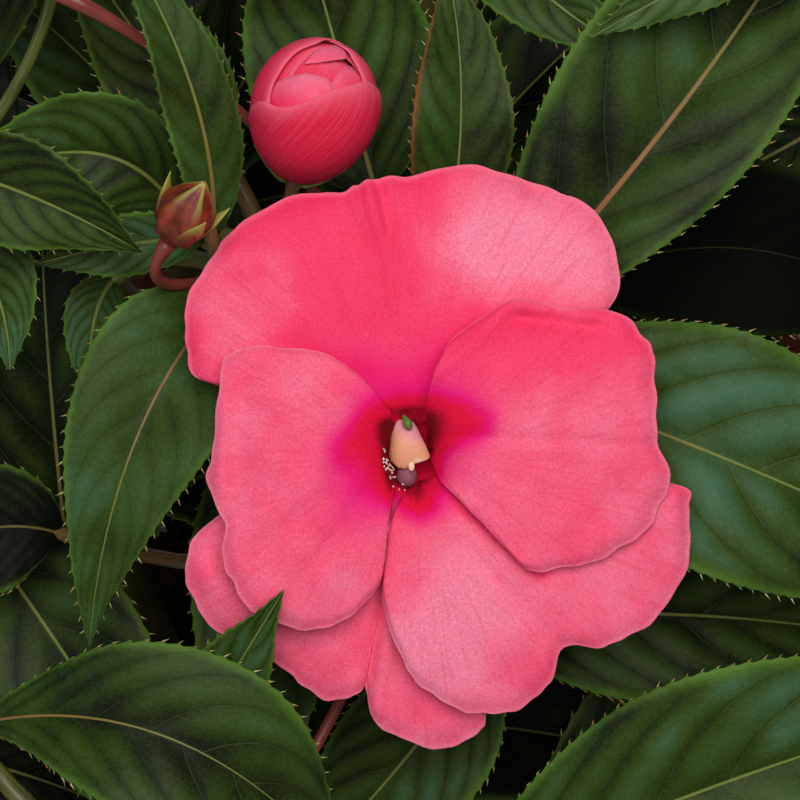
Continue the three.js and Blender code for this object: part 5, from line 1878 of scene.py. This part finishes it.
        # Painted shade on the folded flap.
        flap_shade = 0.8 * smooth(edge, 0.72, 0.58) * smooth(height, 2.6, 1.2)
        mask, tint = with_caps(columns(pink, 0.0, 0.0)), with_caps(columns(light, flap_shade, 0.0))
        draft.add(self.place(points), faces, mask=mask, tint=tint)

    def dust(self, palette: Palette) -> None:
        """Strews pollen on the throat's wall, below the hood and to its left.

        Args:
            palette: the finishes.
        """
        x, y = np.meshgrid(np.linspace(0, 1, 9), np.linspace(-5.7, -0.4, 16))
        low = smooth(y, -2.4, -5.2)
        flat = np.stack([-3.05 + 1.2 * low + x * (1.3 + 0.2 * low), y], axis=-1)
        sheet = np.concatenate([flat, (petal_out(flat, 2.0) + 0.55)[..., None]], axis=-1)
        spread = Draft()
        spread.add(self.stance.place(sheet), [grid(*x.shape)])
        specks = Scatter(0.2, 3.6, 4, least=0.5).strew("front_pollen", spread, palette.pollen)
        settle(specks, "column", "front_column")

    def ball(self, sides: int, rings: int) -> Array:
        """The rings of a unit ball, from its top down."""
        polar = (np.arange(rings) + 0.6)[:, None] * np.pi / (rings + 0.2)
        turn = np.arange(sides)[None] * FULL_TURN / sides
        return columns(np.sin(polar) * np.cos(turn), np.cos(polar), np.sin(polar) * np.sin(turn))


FINE_PETALS = PetalCut(132, 40)
PLAIN_PETALS = PetalCut(60, 20)
BLOOMS = (
    Bloom("front", 0.84, FRONT, 1.0, 1, FINE_PETALS, 1),
    Bloom(
        "upper_left", 0.93, Stance.facing(FRONT.place([-46, 93, 2]), -120, 80), 0.92, -1, PLAIN_PETALS, 2,
        via=FRONT.place([-44, 62, -20]), ruddy=0.0,
    ),
    Bloom("lower", 0.94, Stance.facing(FRONT.place([-12, -90, -20]), -96, 34, 8), 0.94, 1, PLAIN_PETALS, 3),
    Bloom("right", 0.95, Stance.facing((108, -66, 214), -26, 50, -10), 0.95, -1, PLAIN_PETALS, 4),
    Bloom("back", 0.95, Stance.facing((12, 118, 230), 84, 52), 0.96, -1, PLAIN_PETALS, 5),
    Bloom("far_left", 0.95, Stance.facing((-132, 8, 206), 186, 44, 6), 0.94, -1, PLAIN_PETALS, 6),
)


def ruddy_tube(path: Array, radii: Array, ruddy: float, **shape: float | Array) -> Tube:
    """A stalk or sepal: a tube of ten sides whose third fact says how red it is."""
    points, faces, facts = tube(path, radii, 10, **shape)
    facts[:, 2] = ruddy
    return points, faces, facts


def stalk_path(name: str, at: float, stance: Stance, seat: Array, via: Array | None) -> Array:
    """The start, middle and end of a flower or bud stalk.

    Args:
        name: the shoot that it leaves.
        at: its place along the stem.
        stance: the stance of the bloom or bud.
        seat: where it ends.
        via: the point that it passes, where that is given.

    Returns:
        The three points.
    """
    root = through(next(shoot for shoot in SHOOTS if shoot.name == name).path, at)
    bend = -0.14 * np.linalg.norm(seat - root)
    middle = via if via is not None else (root + seat) / 2 + stance.out * bend
    return np.stack([root, middle, seat])


# Buds.


class BudKind(Enum):
    """How far a bud has come."""

    OPENING = "opening"
    CLOSED = "closed"


@dataclass(frozen=True)
class Wrap:
    """One petal of an opening bud: its rim as turns in degrees and heights, and its girth."""

    rim: tuple[Spot, ...]
    girth: float
    tone: float = 0.2
    red: float = 0.0
    flare: float = 0.0
    lean: float = 8.0


# The bud's petals from its front to its back, each from where its rim starts round the bud.
WRAPS = (
    Wrap(
        (
            (190, 0.48), (204, 0.57), (216, 0.615), (228, 0.63), (243, 0.665), (262, 0.735), (284, 0.79),
            (312, 0.80), (336, 0.775), (352, 0.70), (364, 0.60), (372, 0.46),
        ),
        1.0, 0.0, 1.0, 0.02, 26,
    ),
    Wrap(
        (
            (236, 0.50), (220, 0.60), (210, 0.68), (203, 0.76), (190, 0.84), (164, 0.91), (124, 0.92),
            (86, 0.87), (62, 0.78), (48, 0.62),
        ),
        0.955, 0.05, 0.55, 0.03, 6,
    ),
    Wrap(
        (
            (128, 0.62), (104, 0.78), (80, 0.87), (50, 0.90), (20, 0.895), (0, 0.875), (-16, 0.84),
            (-28, 0.77), (-36, 0.66), (-40, 0.52),
        ),
        0.94, 0.1, 0.6, 0.02, -6,
    ),
    Wrap(
        ((196, 0.55), (206, 0.70), (222, 0.79), (242, 0.83), (262, 0.84), (280, 0.81), (292, 0.7)),
        0.87, 0.2, 0, 0.01,
    ),
    Wrap(((262, 0.7), (282, 0.82), (302, 0.87), (322, 0.885), (342, 0.85), (356, 0.74)), 0.86, 0.1, 0, 0.01),
    # This inner petal's deep red is partly painted shade, in the gap between the rims of the lower petals
    # and the left petal.
    Wrap(
        ((224, 0.7), (206, 0.84), (176, 0.92), (120, 0.95), (60, 0.94), (20, 0.90), (-4, 0.8)),
        0.86, 0.0, 0.9, -0.02,
    ),
    Wrap(
        ((60, 0.8), (110, 0.93), (180, 0.96), (240, 0.95), (300, 0.955), (340, 0.93), (370, 0.8)),
        0.8, 0.1, 0.8, 0.0,
    ),
    Wrap(((180, 0.8), (240, 0.94), (300, 0.97), (380, 0.96), (440, 0.94), (500, 0.8)), 0.68, 0.4, 0.2, 0.0),
)
WRAP_FOOT = 0.05


@dataclass(frozen=True)
class Flap:
    """A petal tip that lies over the top of an opening bud, outlined round the bud's pole."""

    outline: tuple[Spot, ...]
    girth: float
    tone: float
    shares: tuple[float, ...] = (0.3, 0.75, 0.95, 1.0, 0.93, 0.75, 0.45, 0.2)
    lifts: tuple[float, ...] = (-0.05, -0.05, -0.03, 0.0, 0.02, 0.03, 0.03, 0.03)


FLAP = Flap(
    (
        (-0.113, -0.092), (-0.090, -0.046), (-0.052, 0.010), (0.028, 0.087), (0.080, 0.065),
        (0.095, 0.002), (0.064, -0.034), (0.004, -0.068), (-0.054, -0.088),
    ),
    0.92, 0.4,
)


@dataclass(frozen=True)
class Bud:
    """One bud: where it stands, its size, and the shoot and place that its stalk leaves."""

    name: str
    shoot: str
    at: float
    kind: BudKind
    stance: Stance
    size: float
    via: Array | None = None
    egg: Place = (8.15, 7.6, 10.1)
    calyx: tuple[float, ...] = (0.8, 1.6, 2.1, 2.2, 2.0, 1.6, 1.1, 0.6, 0.12)
    closed_radius: float = 3.9
    closed_tall: float = 5.4
    sepals: tuple[float, ...] = (0.8, 1.3, 1.6, 1.7, 1.65, 1.5, 1.3, 1.0, 0.75, 0.5, 0.3, 0.1)
    stalk: float = 0.75
    seat: float = 0.6

    def place(self, local: Array) -> Array:
        """Turns points of a bud of full size into points of the part."""
        return self.stance.place(local * self.size)

    def build(self, palette: Palette) -> None:
        """Builds the bud in place of its solid, and dresses it.

        Args:
            palette: the finishes.
        """
        draft = Draft()
        if self.kind is BudKind.OPENING:
            for k, wrap in enumerate(WRAPS):
                self.add_wrap(draft, wrap, k)
            self.add_flap(draft, FLAP)
            self.add_core(draft)
            self.add_calyx(draft)
            made = draft.make(f"{self.name}_bud_petals", palette.petal, palette.stem)
            settle(made, "petal", f"{self.name}_bud")
        else:
            self.add_closed(draft)
            made = draft.make(f"{self.name}_bud_sepals", palette.bud)
            settle(made, "bud", f"{self.name}_bud")

    def egg_point(self, round_it: Array, height: Array, girth: Array | float) -> Array:
        """Points of the egg that a bud's petals wrap, round it in degrees and up it from 0 to 1.

        Args:
            round_it: the turn round it, in degrees.
            height: how far up it, from 0 to 1.
            girth: the share of its own girth.

        Returns:
            The points, for a bud of full size.
        """
        polar, turn = np.pi * (1 - height), np.radians(round_it)
        reach = np.sin(polar) * (1 + 0.12 * np.cos(polar)) * girth
        wide, deep, tall = self.egg
        z = tall * np.cos(polar) * (0.5 + 0.5 * girth)
        return columns(wide * reach * np.cos(turn), deep * reach * np.sin(turn), z)

    def add_wrap(self, draft: Draft, wrap: Wrap, order: int) -> None:
        """Adds one wrapping petal, with its rim rolled a little outwards.

        Args:
            draft: the draft that it is added to.
            wrap: the petal.
            order: which of the petals it is.
        """
        u, v = np.linspace(0, 1, 52)[None, :], np.linspace(0, 1, 22)[:, None]
        rim, tops = spline(np.array(wrap.rim), u[0]).T
        tops = tops + 0.004 * np.sin(FULL_TURN * (3 * u[0] + 0.3 * order))
        height = WRAP_FOOT + (tops - WRAP_FOOT) * v
        turn = rim + (rim.mean() - rim) * 0.15 * (1 - v) + wrap.lean * (v - 1)
        girth = wrap.girth - 0.03 * (1 - np.sin(np.pi * u) ** 0.3) + wrap.flare * smooth(v, 0.8, 1)
        girth = girth + 0.006 * np.sin(FULL_TURN * (3 * u + order)) * v
        thin = 0.034 * (1 - 0.6 * smooth(v, 0.86, 1))
        over, under = (self.place(self.egg_point(turn, height, girth + hand * thin)) for hand in (1, -1))
        points, faces = shell(over, under)
        place = columns((u * 34 - 9 * v + 3 * order) * 3.2, 1.6 * v, 0.97 + 0.03 * v**8)
        tone, red = wrap.tone + 0.15 * smooth(v, 0.7, 1), wrap.red * (1 - 0.5 * smooth(v, 0.9, 1))
        mask = columns(0.12 * (1 - v) + 0 * u, tone, red)
        draft.add(points, faces, place=listed(place, place), mask=listed(mask, mask * [1, 1, 0.5]))

    def add_core(self, draft: Draft) -> None:
        """Adds the tight heart of the bud, so that no gap between its petals looks empty.

        Args:
            draft: the draft that it is added to.
        """
        heights = np.array([0.06, 0.12, 0.22, 0.36, 0.5, 0.64, 0.76, 0.84, 0.88])[:, None]
        turns = np.linspace(0, 360, 31)[None, :-1]
        points, faces = capped(self.egg_point(turns, heights, 0.66) * self.size)
        facts = {"place": even_fact(points, 0, 0, 0), "mask": even_fact(points, 0.5, 0.1, 0.6)}
        draft.add(self.stance.place(points), faces, **facts)

    def add_flap(self, draft: Draft, flap: Flap) -> None:
        """Adds a petal tip over the bud's top, thin at its rim.

        Args:
            draft: the draft that it is added to.
            flap: the petal tip.
        """
        rim = spline(np.array([*flap.outline, flap.outline[0]]), np.linspace(0, 1, 49))[:-1]
        middle = rim.mean(axis=0)
        rows = []
        for share, lift in zip(flap.shares, flap.lifts):
            a, b = (middle + (rim - middle) * share).T
            rows.append(self.egg_point(np.degrees(np.arctan2(b, a)), 1 - np.hypot(a, b), flap.girth + lift))
        rings = np.array(rows) * self.size
        points, faces = capped(rings)
        far = np.array(flap.shares)[:, None]
        place = with_caps(columns(rings[..., 0] * 3, rings[..., 1] * 3, 0.97 + 0.03 * far**12))
        draft.add(self.stance.place(points), faces, place=place, mask=even_fact(points, 0, flap.tone, 0))

    def add_calyx(self, draft: Draft) -> None:
        """Adds the small green sepals that hold the bud's foot, inside its solid's reach.

        Args:
            draft: the draft that it is added to.
        """
        heights, girths = np.array([[0.03, 0.16, 0.34], [1.0, 1.02, 1.04]])
        radii = np.array(self.calyx) * self.size
        for turn in (200, 320, 80):
            base = self.egg_point(turn, heights, girths)
            path = self.place(through(base, np.linspace(0, 1, len(self.calyx))))
            across = unit(np.cross(self.stance.out, path[-1] - self.stance.origin))
            points, faces, facts = ruddy_tube(path, radii, 0.0, flatten=0.2, across=across)
            draft.add(points, faces, slot=1, place=facts)

    def add_closed(self, draft: Draft) -> None:
        """Adds a closed bud: a ridged drop, held in sepals whose tips stand clear.

        Args:
            draft: the draft that it is added to.
        """
        z = np.array([-1, -0.85, -0.6, -0.3, 0, 0.3, 0.6, 0.85, 1.0, 1.12])[:, None]
        girth = np.interp(z, [-1, -0.6, 0, 0.6, 1.12], [0.35, 0.9, 1, 0.6, 0.07])
        girth = np.where((z > -0.9) & (z < 1), girth * (1 + 0.05 * np.cos(z * 2)), girth)
        turns = np.linspace(0, FULL_TURN, 41)[:-1]
        ridge = 1 + 0.12 * np.cos(5 * turns[None] + 0.6 * z)
        radius = self.closed_radius * girth * ridge
        rings = columns(radius * np.cos(turns), radius * np.sin(turns), self.closed_tall * z)
        points, faces = capped(rings * self.size)
        keel = smooth(ridge, 1.07, 1.12) * smooth(z, 0.1, 0.9) * 0.8 + smooth(z, 0.9, 1.1) * 0.6
        mask = listed(columns(np.clip(keel, 0, 1), 0.0, 0.0), np.zeros((2, 3)))
        draft.add(self.stance.place(points), faces, mask=mask)
        bow = np.array([[0.7, 0, -3.4], [1.06, 0, 0.2], [1.3, 0, 3.4]])
        bow = bow * [self.closed_radius * self.size, 1, self.size]
        bow = through(bow, np.linspace(0, 1, len(self.sepals)))
        radii = np.array(self.sepals) * self.size
        for k in range(3):
            turn = 2 * FULL_TURN * k / 5
            c, s = math.cos(turn), math.sin(turn)
            line = self.stance.place(bow @ np.array([[c, s, 0], [-s, c, 0], [0, 0, 1]]))
            across = self.stance.way([-s, c, 0])
            points, faces, facts = tube(line, radii, 10, flatten=0.3, across=across)
            shade = columns(0.15 + 0.85 * smooth(facts[:, 0], 0.35, 0.85), 0.0, 0.0)
            draft.add(points, faces, mask=shade)

    def stalks(self) -> list[Tube]:
        """The bud's stalk, in a list of its own.

        Returns:
            The tube.
        """
        closed = self.kind is BudKind.CLOSED
        tall = self.closed_tall if closed else self.egg[2]
        seat = self.stance.place([0, 0, -tall * self.size - self.seat])
        path = stalk_path(self.shoot, self.at, self.stance, seat, self.via)
        share = np.linspace(0, 1, 20)
        radii = self.stalk * (1 + 0.5 * smooth(share, 0.85, 1))
        return [ruddy_tube(through(path, share), radii, 0.8 if closed else 0.5)]


BUDS = (
    Bud(
        "opening", "bud_shoot", 0.95, BudKind.OPENING,
        Stance.along(FRONT.place([-11.8, 41.2, -8.6]), FRONT.way([0.22, 0.74, 0.64])), 0.98,
    ),
    Bud(
        "small", "bud_shoot", 0.97, BudKind.CLOSED,
        Stance.along(FRONT.place([-27, 28.4, 0.4]), FRONT.way([0.45, 0.65, 0.62])), 0.88,
        via=FRONT.place([-30, 20, -10]),
    ),
    Bud(
        "high", "front_shoot", 0.96, BudKind.CLOSED,
        Stance.along(FRONT.place([-47.5, 60.5, -4]), FRONT.way([-0.6, 0.7, 0.4])), 1.05,
        via=FRONT.place([-13, 33.5, -22]),
    ),
    Bud(
        "lower", "front_shoot", 0.92, BudKind.CLOSED,
        Stance.along(FRONT.place([-37, -66, -12]), FRONT.way([-0.7, -0.55, 0.42])), 1.0,
        via=FRONT.place([-10.5, -36.5, -22]),
    ),
    Bud("back", "back_shoot", 0.97, BudKind.OPENING, Stance.along([54, 98, 236], [0.3, 0.4, 0.85]), 0.85),
    Bud(
        "left", "far_left_shoot", 0.97, BudKind.CLOSED,
        Stance.along([-102, 44, 220], [-0.3, 0.3, 0.9]), 1.1,
    ),
)


# Pot and mix.


@dataclass
class ClayPot:
    """The plain clay flower pot: tapered, with a thick band at its rim and drain holes."""

    palette: Palette
    height: float = 128.0
    rim: float = 76.0
    body: float = 69.0
    foot: float = 52.0
    band: float = 26.0
    wall: float = 6.0
    floor: float = 8.0
    sides: int = 144
    step: float = 6.0
    drains: int = 3
    drain_radius: float = 5.0
    drain_ring: float = 28.0

    def profile(self) -> Array:
        """Its outline from the middle of the foot, up the outside, over the rim and down inside.

        Returns:
            The points of the outline, as radius and height.
        """
        h, band = self.height, self.height - self.band
        corners = [
            (0, 0, 0), (self.foot, 0, 2.2), (self.body, band, 1.2), (self.rim - 0.4, band, 1.6),
            (self.rim, h, 2.4), (self.rim - self.wall - 1, h, 2.4), (self.body - self.wall + 0.5, band, 3),
            (self.foot - self.wall, self.floor, 4), (0, self.floor, 0),
        ]
        line = []
        for i, (r, z, bend) in enumerate(corners):
            here = np.array([r, z], float)
            if not bend:
                line.append(here)
                continue
            before, after = (np.array(corners[k][:2], float) for k in (i - 1, i + 1))
            start = here + unit(before - here) * bend
            end = here + unit(after - here) * bend
            for f in np.linspace(0, 1, 6):
                line.append((1 - f) ** 2 * start + 2 * f * (1 - f) * here + f * f * end)
        return np.array(line)

    def build(self) -> None:
        """Builds the pot in place of its solid."""
        line = self.profile()
        dense = [line[0]]
        for start, end in zip(line[:-1], line[1:]):
            count = max(1, round(np.linalg.norm(end - start) / self.step))
            dense += [start + (end - start) * f for f in (np.arange(count) + 1) / count]
        line = np.array(dense)
        turns = np.arange(self.sides) * FULL_TURN / self.sides
        ring = line[1:-1]
        wobble = 0.12 * np.sin(3 * turns) + 0.07 * np.sin(7 * turns + 1)
        radius = ring[:, :1] + wobble * smooth(ring[:, :1], 20, 60)
        draft = Draft()
        draft.add(*capped(columns(radius * np.cos(turns), radius * np.sin(turns), ring[:, 1:])))
        pot = draft.make("clay_pot", self.palette.clay)
        self.drill(pot)
        settle(pot, "clay", "pot")

    def drill(self, pot: Piece) -> None:
        """Cuts the drain holes through the foot.

        Args:
            pot: the pot's object.
        """
        cutter = Draft()
        for k in range(self.drains):
            turn = FULL_TURN * k / self.drains
            x, y = self.drain_ring * math.cos(turn), self.drain_ring * math.sin(turn)
            path = np.array([[x, y, -6], [x, y, self.floor + 6]])
            points, faces, _ = tube(path, np.full(2, self.drain_radius), 28)
            cutter.add(points, faces)
        tool = cutter.make("drain_drill")
        cut = pot.modifiers.new("drain", "BOOLEAN")
        cut.operation, cut.solver, cut.object = "DIFFERENCE", "EXACT", tool
        mesh = bpy.data.meshes.new_from_object(pot.evaluated_get(bpy.context.evaluated_depsgraph_get()))
        pot.modifiers.remove(cut)
        pot.data = mesh
        bpy.data.objects.remove(tool)


@dataclass(frozen=True)
class Scatter:
    """Strews small lumps over a surface, each turned and sized by chance."""

    size: float
    density: float
    seed: int
    least: float = 0.5

    def tree(self, material: Material) -> Tree:
        """Builds the tree: points on the faces, a lump on each, made real and dressed.

        Args:
            material: the lumps' finish.

        Returns:
            The tree.
        """
        tree = start_tree("strewn lumps", Surface="Geometry", Size="Float", Density="Float", Seed="Int")
        add = partial(add_node, tree)
        given = add("NodeGroupInput").outputs
        seed = {"Seed": given["Seed"]}
        spread = {"Mesh": given["Surface"], "Density": given["Density"], **seed}
        points = add("GeometryNodeDistributePointsOnFaces", spread)
        lump = add("GeometryNodeMeshIcoSphere", {"Radius": given["Size"], "Subdivisions": 1})
        turn = add("FunctionNodeRandomValue", {"Max": (6.28,) * 3, **seed}, data_type="FLOAT_VECTOR")
        sizes = {"Min": (self.least,) * 3, "Max": (1.0, 0.9, 0.7), **seed}
        sizes["ID"] = add("GeometryNodeInputIndex")
        scale = add("FunctionNodeRandomValue", sizes, data_type="FLOAT_VECTOR")
        end_tree(add, {"Points": points, "Instance": lump, "Rotation": turn, "Scale": scale}, material)
        return tree

    def strew(self, name: str, surface: Draft, material: Material) -> Piece:
        """Strews the lumps on a surface and keeps them as a plain mesh."""
        values = {"Size": self.size * MM, "Density": self.density / MM**2, "Seed": self.seed}
        return grow_nodes(surface.make(name, material), self.tree(material), values)


@dataclass
class PottingMix:
    """The potting mix that fills the pot: a lumpy low dome, strewn with crumbs and perlite."""

    palette: Palette
    top: float = MIX_TOP
    bottom: float = 8.6
    edge: float = 62.6
    edge_top: float = 102.0
    base: float = 45.8
    rings: int = 64
    sides: int = 180

    def surface(self, turn: Array) -> Array:
        """The points of its top, from its middle to the wall of the pot.

        Args:
            turn: the turns round it of the points of a ring.

        Returns:
            The grid of points, one ring a row.
        """
        r = self.edge * np.linspace(0.02, 1, self.rings)[:, None]
        x, y = r * np.cos(turn), r * np.sin(turn)
        bumps = np.sin(0.31 * r + 5 * turn) + np.sin(0.23 * r - 8 * turn + 1)
        clods = 0.5 * np.sin(1.3 * x + 0.4 * y) * np.sin(1.1 * y - 0.7 * x)
        z = self.top + 0.8 * bumps - 6 * (r / 69) ** 2 + clods + 0.3 * np.sin(2.9 * x) * np.sin(3.1 * y)
        near = smooth(r, self.edge - 14, self.edge)
        return columns(x, y, z * (1 - near) + self.edge_top * near)

    def build(self) -> None:
        """Builds the mix in place of its solid, and strews its crumbs and perlite."""
        turn = np.linspace(0, FULL_TURN, self.sides, endpoint=False)
        top = self.surface(turn)
        low = columns(self.base * np.cos(turn), self.base * np.sin(turn), self.bottom)
        draft = Draft()
        draft.add(*capped(np.concatenate([top, low[None]])))
        settle(draft.make("mix_fill", self.palette.peat), "potting_mix", "potting_mix")
        sheet = top[:-4]
        for name, scatter, material in (
            ("mix_crumbs", Scatter(1.5, 0.2, 5), self.palette.peat),
            ("mix_perlite", Scatter(1.1, 0.012, 9), self.palette.perlite),
        ):
            spread = Draft()
            spread.add(sheet, [grid(*sheet.shape[:2])[:, ::-1]])
            settle(scatter.strew(name, spread, material), "potting_mix", "potting_mix")


# Studio.


@dataclass
class Studio:
    """The photo's camera, a plain pale floor, and soft light from above."""

    pixel: float = 0.122
    image: int = 800
    throat_pixel: tuple[int, int] = (408, 445)
    distance: float = 480.0
    floor: float = 3000.0

    def build(self) -> None:
        """Builds the camera, the lights and the floor."""
        self.place_camera()
        self.lay_floor()
        self.light("overhead softbox", (60, -330, 1120), 750, 9.3, "#FFFCF5")
        self.light("side fill", (-900, -700, 700), 900, 1.6, "#E8F0FF")
        self.light("back fill", (500, 1200, 500), 900, 2.2, "#F2F5FF")
        world = bpy.data.worlds.new("studio air")
        world.use_nodes = True
        sky = world.node_tree.nodes["Background"]
        sky.inputs["Color"].default_value = linear("#DCE6F2")
        sky.inputs["Strength"].default_value = 0.1
        bpy.context.scene.world = world
        bpy.context.scene.view_settings.view_transform = "Standard"

    def place_camera(self) -> None:
        """Sets the camera so that the throat falls on its pixel, at the photo's scale."""
        x, y = self.throat_pixel
        half = self.image / 2
        look = FRONT.place([(half - x) * self.pixel, (y - half) * self.pixel, 0])
        lens = bpy.data.cameras.new("photo camera")
        lens.angle = 2 * math.atan(half * self.pixel / self.distance)
        lens.clip_start, lens.clip_end = 0.01, 20
        camera = bpy.data.objects.new("photo camera", lens)
        basis = Matrix([FRONT.right, FRONT.up, FRONT.out]).transposed().to_4x4()
        basis.translation = Vector((look + FRONT.out * self.distance) * MM)
        camera.matrix_world = basis
        bpy.context.scene.collection.objects.link(camera)
        bpy.context.scene.camera = camera

    def lay_floor(self) -> None:
        """Lays the floor under the pot."""
        half = self.floor / 2
        corners = np.array([[x * half, y * half, -0.1] for x, y in ((-1, -1), (1, -1), (1, 1), (-1, 1))])
        draft = Draft()
        draft.add(corners, [np.array([[0, 1, 2, 3]])])
        draft.make("floor", FLOOR.build())

    def light(self, name: str, place: tuple[float, ...], size: float, watts: float, colour: str) -> None:
        """Hangs one square softbox that looks at the plant.

        Args:
            name: its name.
            place: where it hangs, in millimetres.
            size: its width.
            watts: its power.
            colour: its colour.
        """
        lamp = bpy.data.lights.new(name, "AREA")
        lamp.energy, lamp.size, lamp.color = watts, size * MM, linear(colour)[:3]
        box = bpy.data.objects.new(name, lamp)
        box.location = Vector(place) * MM
        aim = Vector((0, 0, 0.2)) - box.location
        box.rotation_euler = aim.to_track_quat("-Z", "Y").to_euler()
        bpy.context.scene.collection.objects.link(box)


def settle(piece: Piece, slot: str, *nodes: str) -> None:
    """Makes a piece ride on the part's body and stand for its solids.

    Args:
        piece: the finished piece.
        slot: the material slot; not used.
        nodes: the solids that it stands for.
    """
    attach(piece, "root")
    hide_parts(*nodes)
    log.info("%s: %d faces, for %s", piece.name, len(piece.data.polygons), ", ".join(nodes))


def main() -> None:
    """Builds the studio and every piece of the plant."""
    logging.basicConfig(level=logging.INFO, format="%(message)s")
    Studio().build()
    palette = Palette()
    ClayPot(palette).build()
    PottingMix(palette).build()
    stalks: dict[str, list[Tube]] = {}
    for flower in (*BLOOMS, *BUDS):
        stalks.setdefault(flower.shoot, []).extend(flower.stalks())
    Foliage(palette, stalks).build()
    for flower in (*BLOOMS, *BUDS):
        flower.build(palette)


if __name__ == "__main__":
    main()
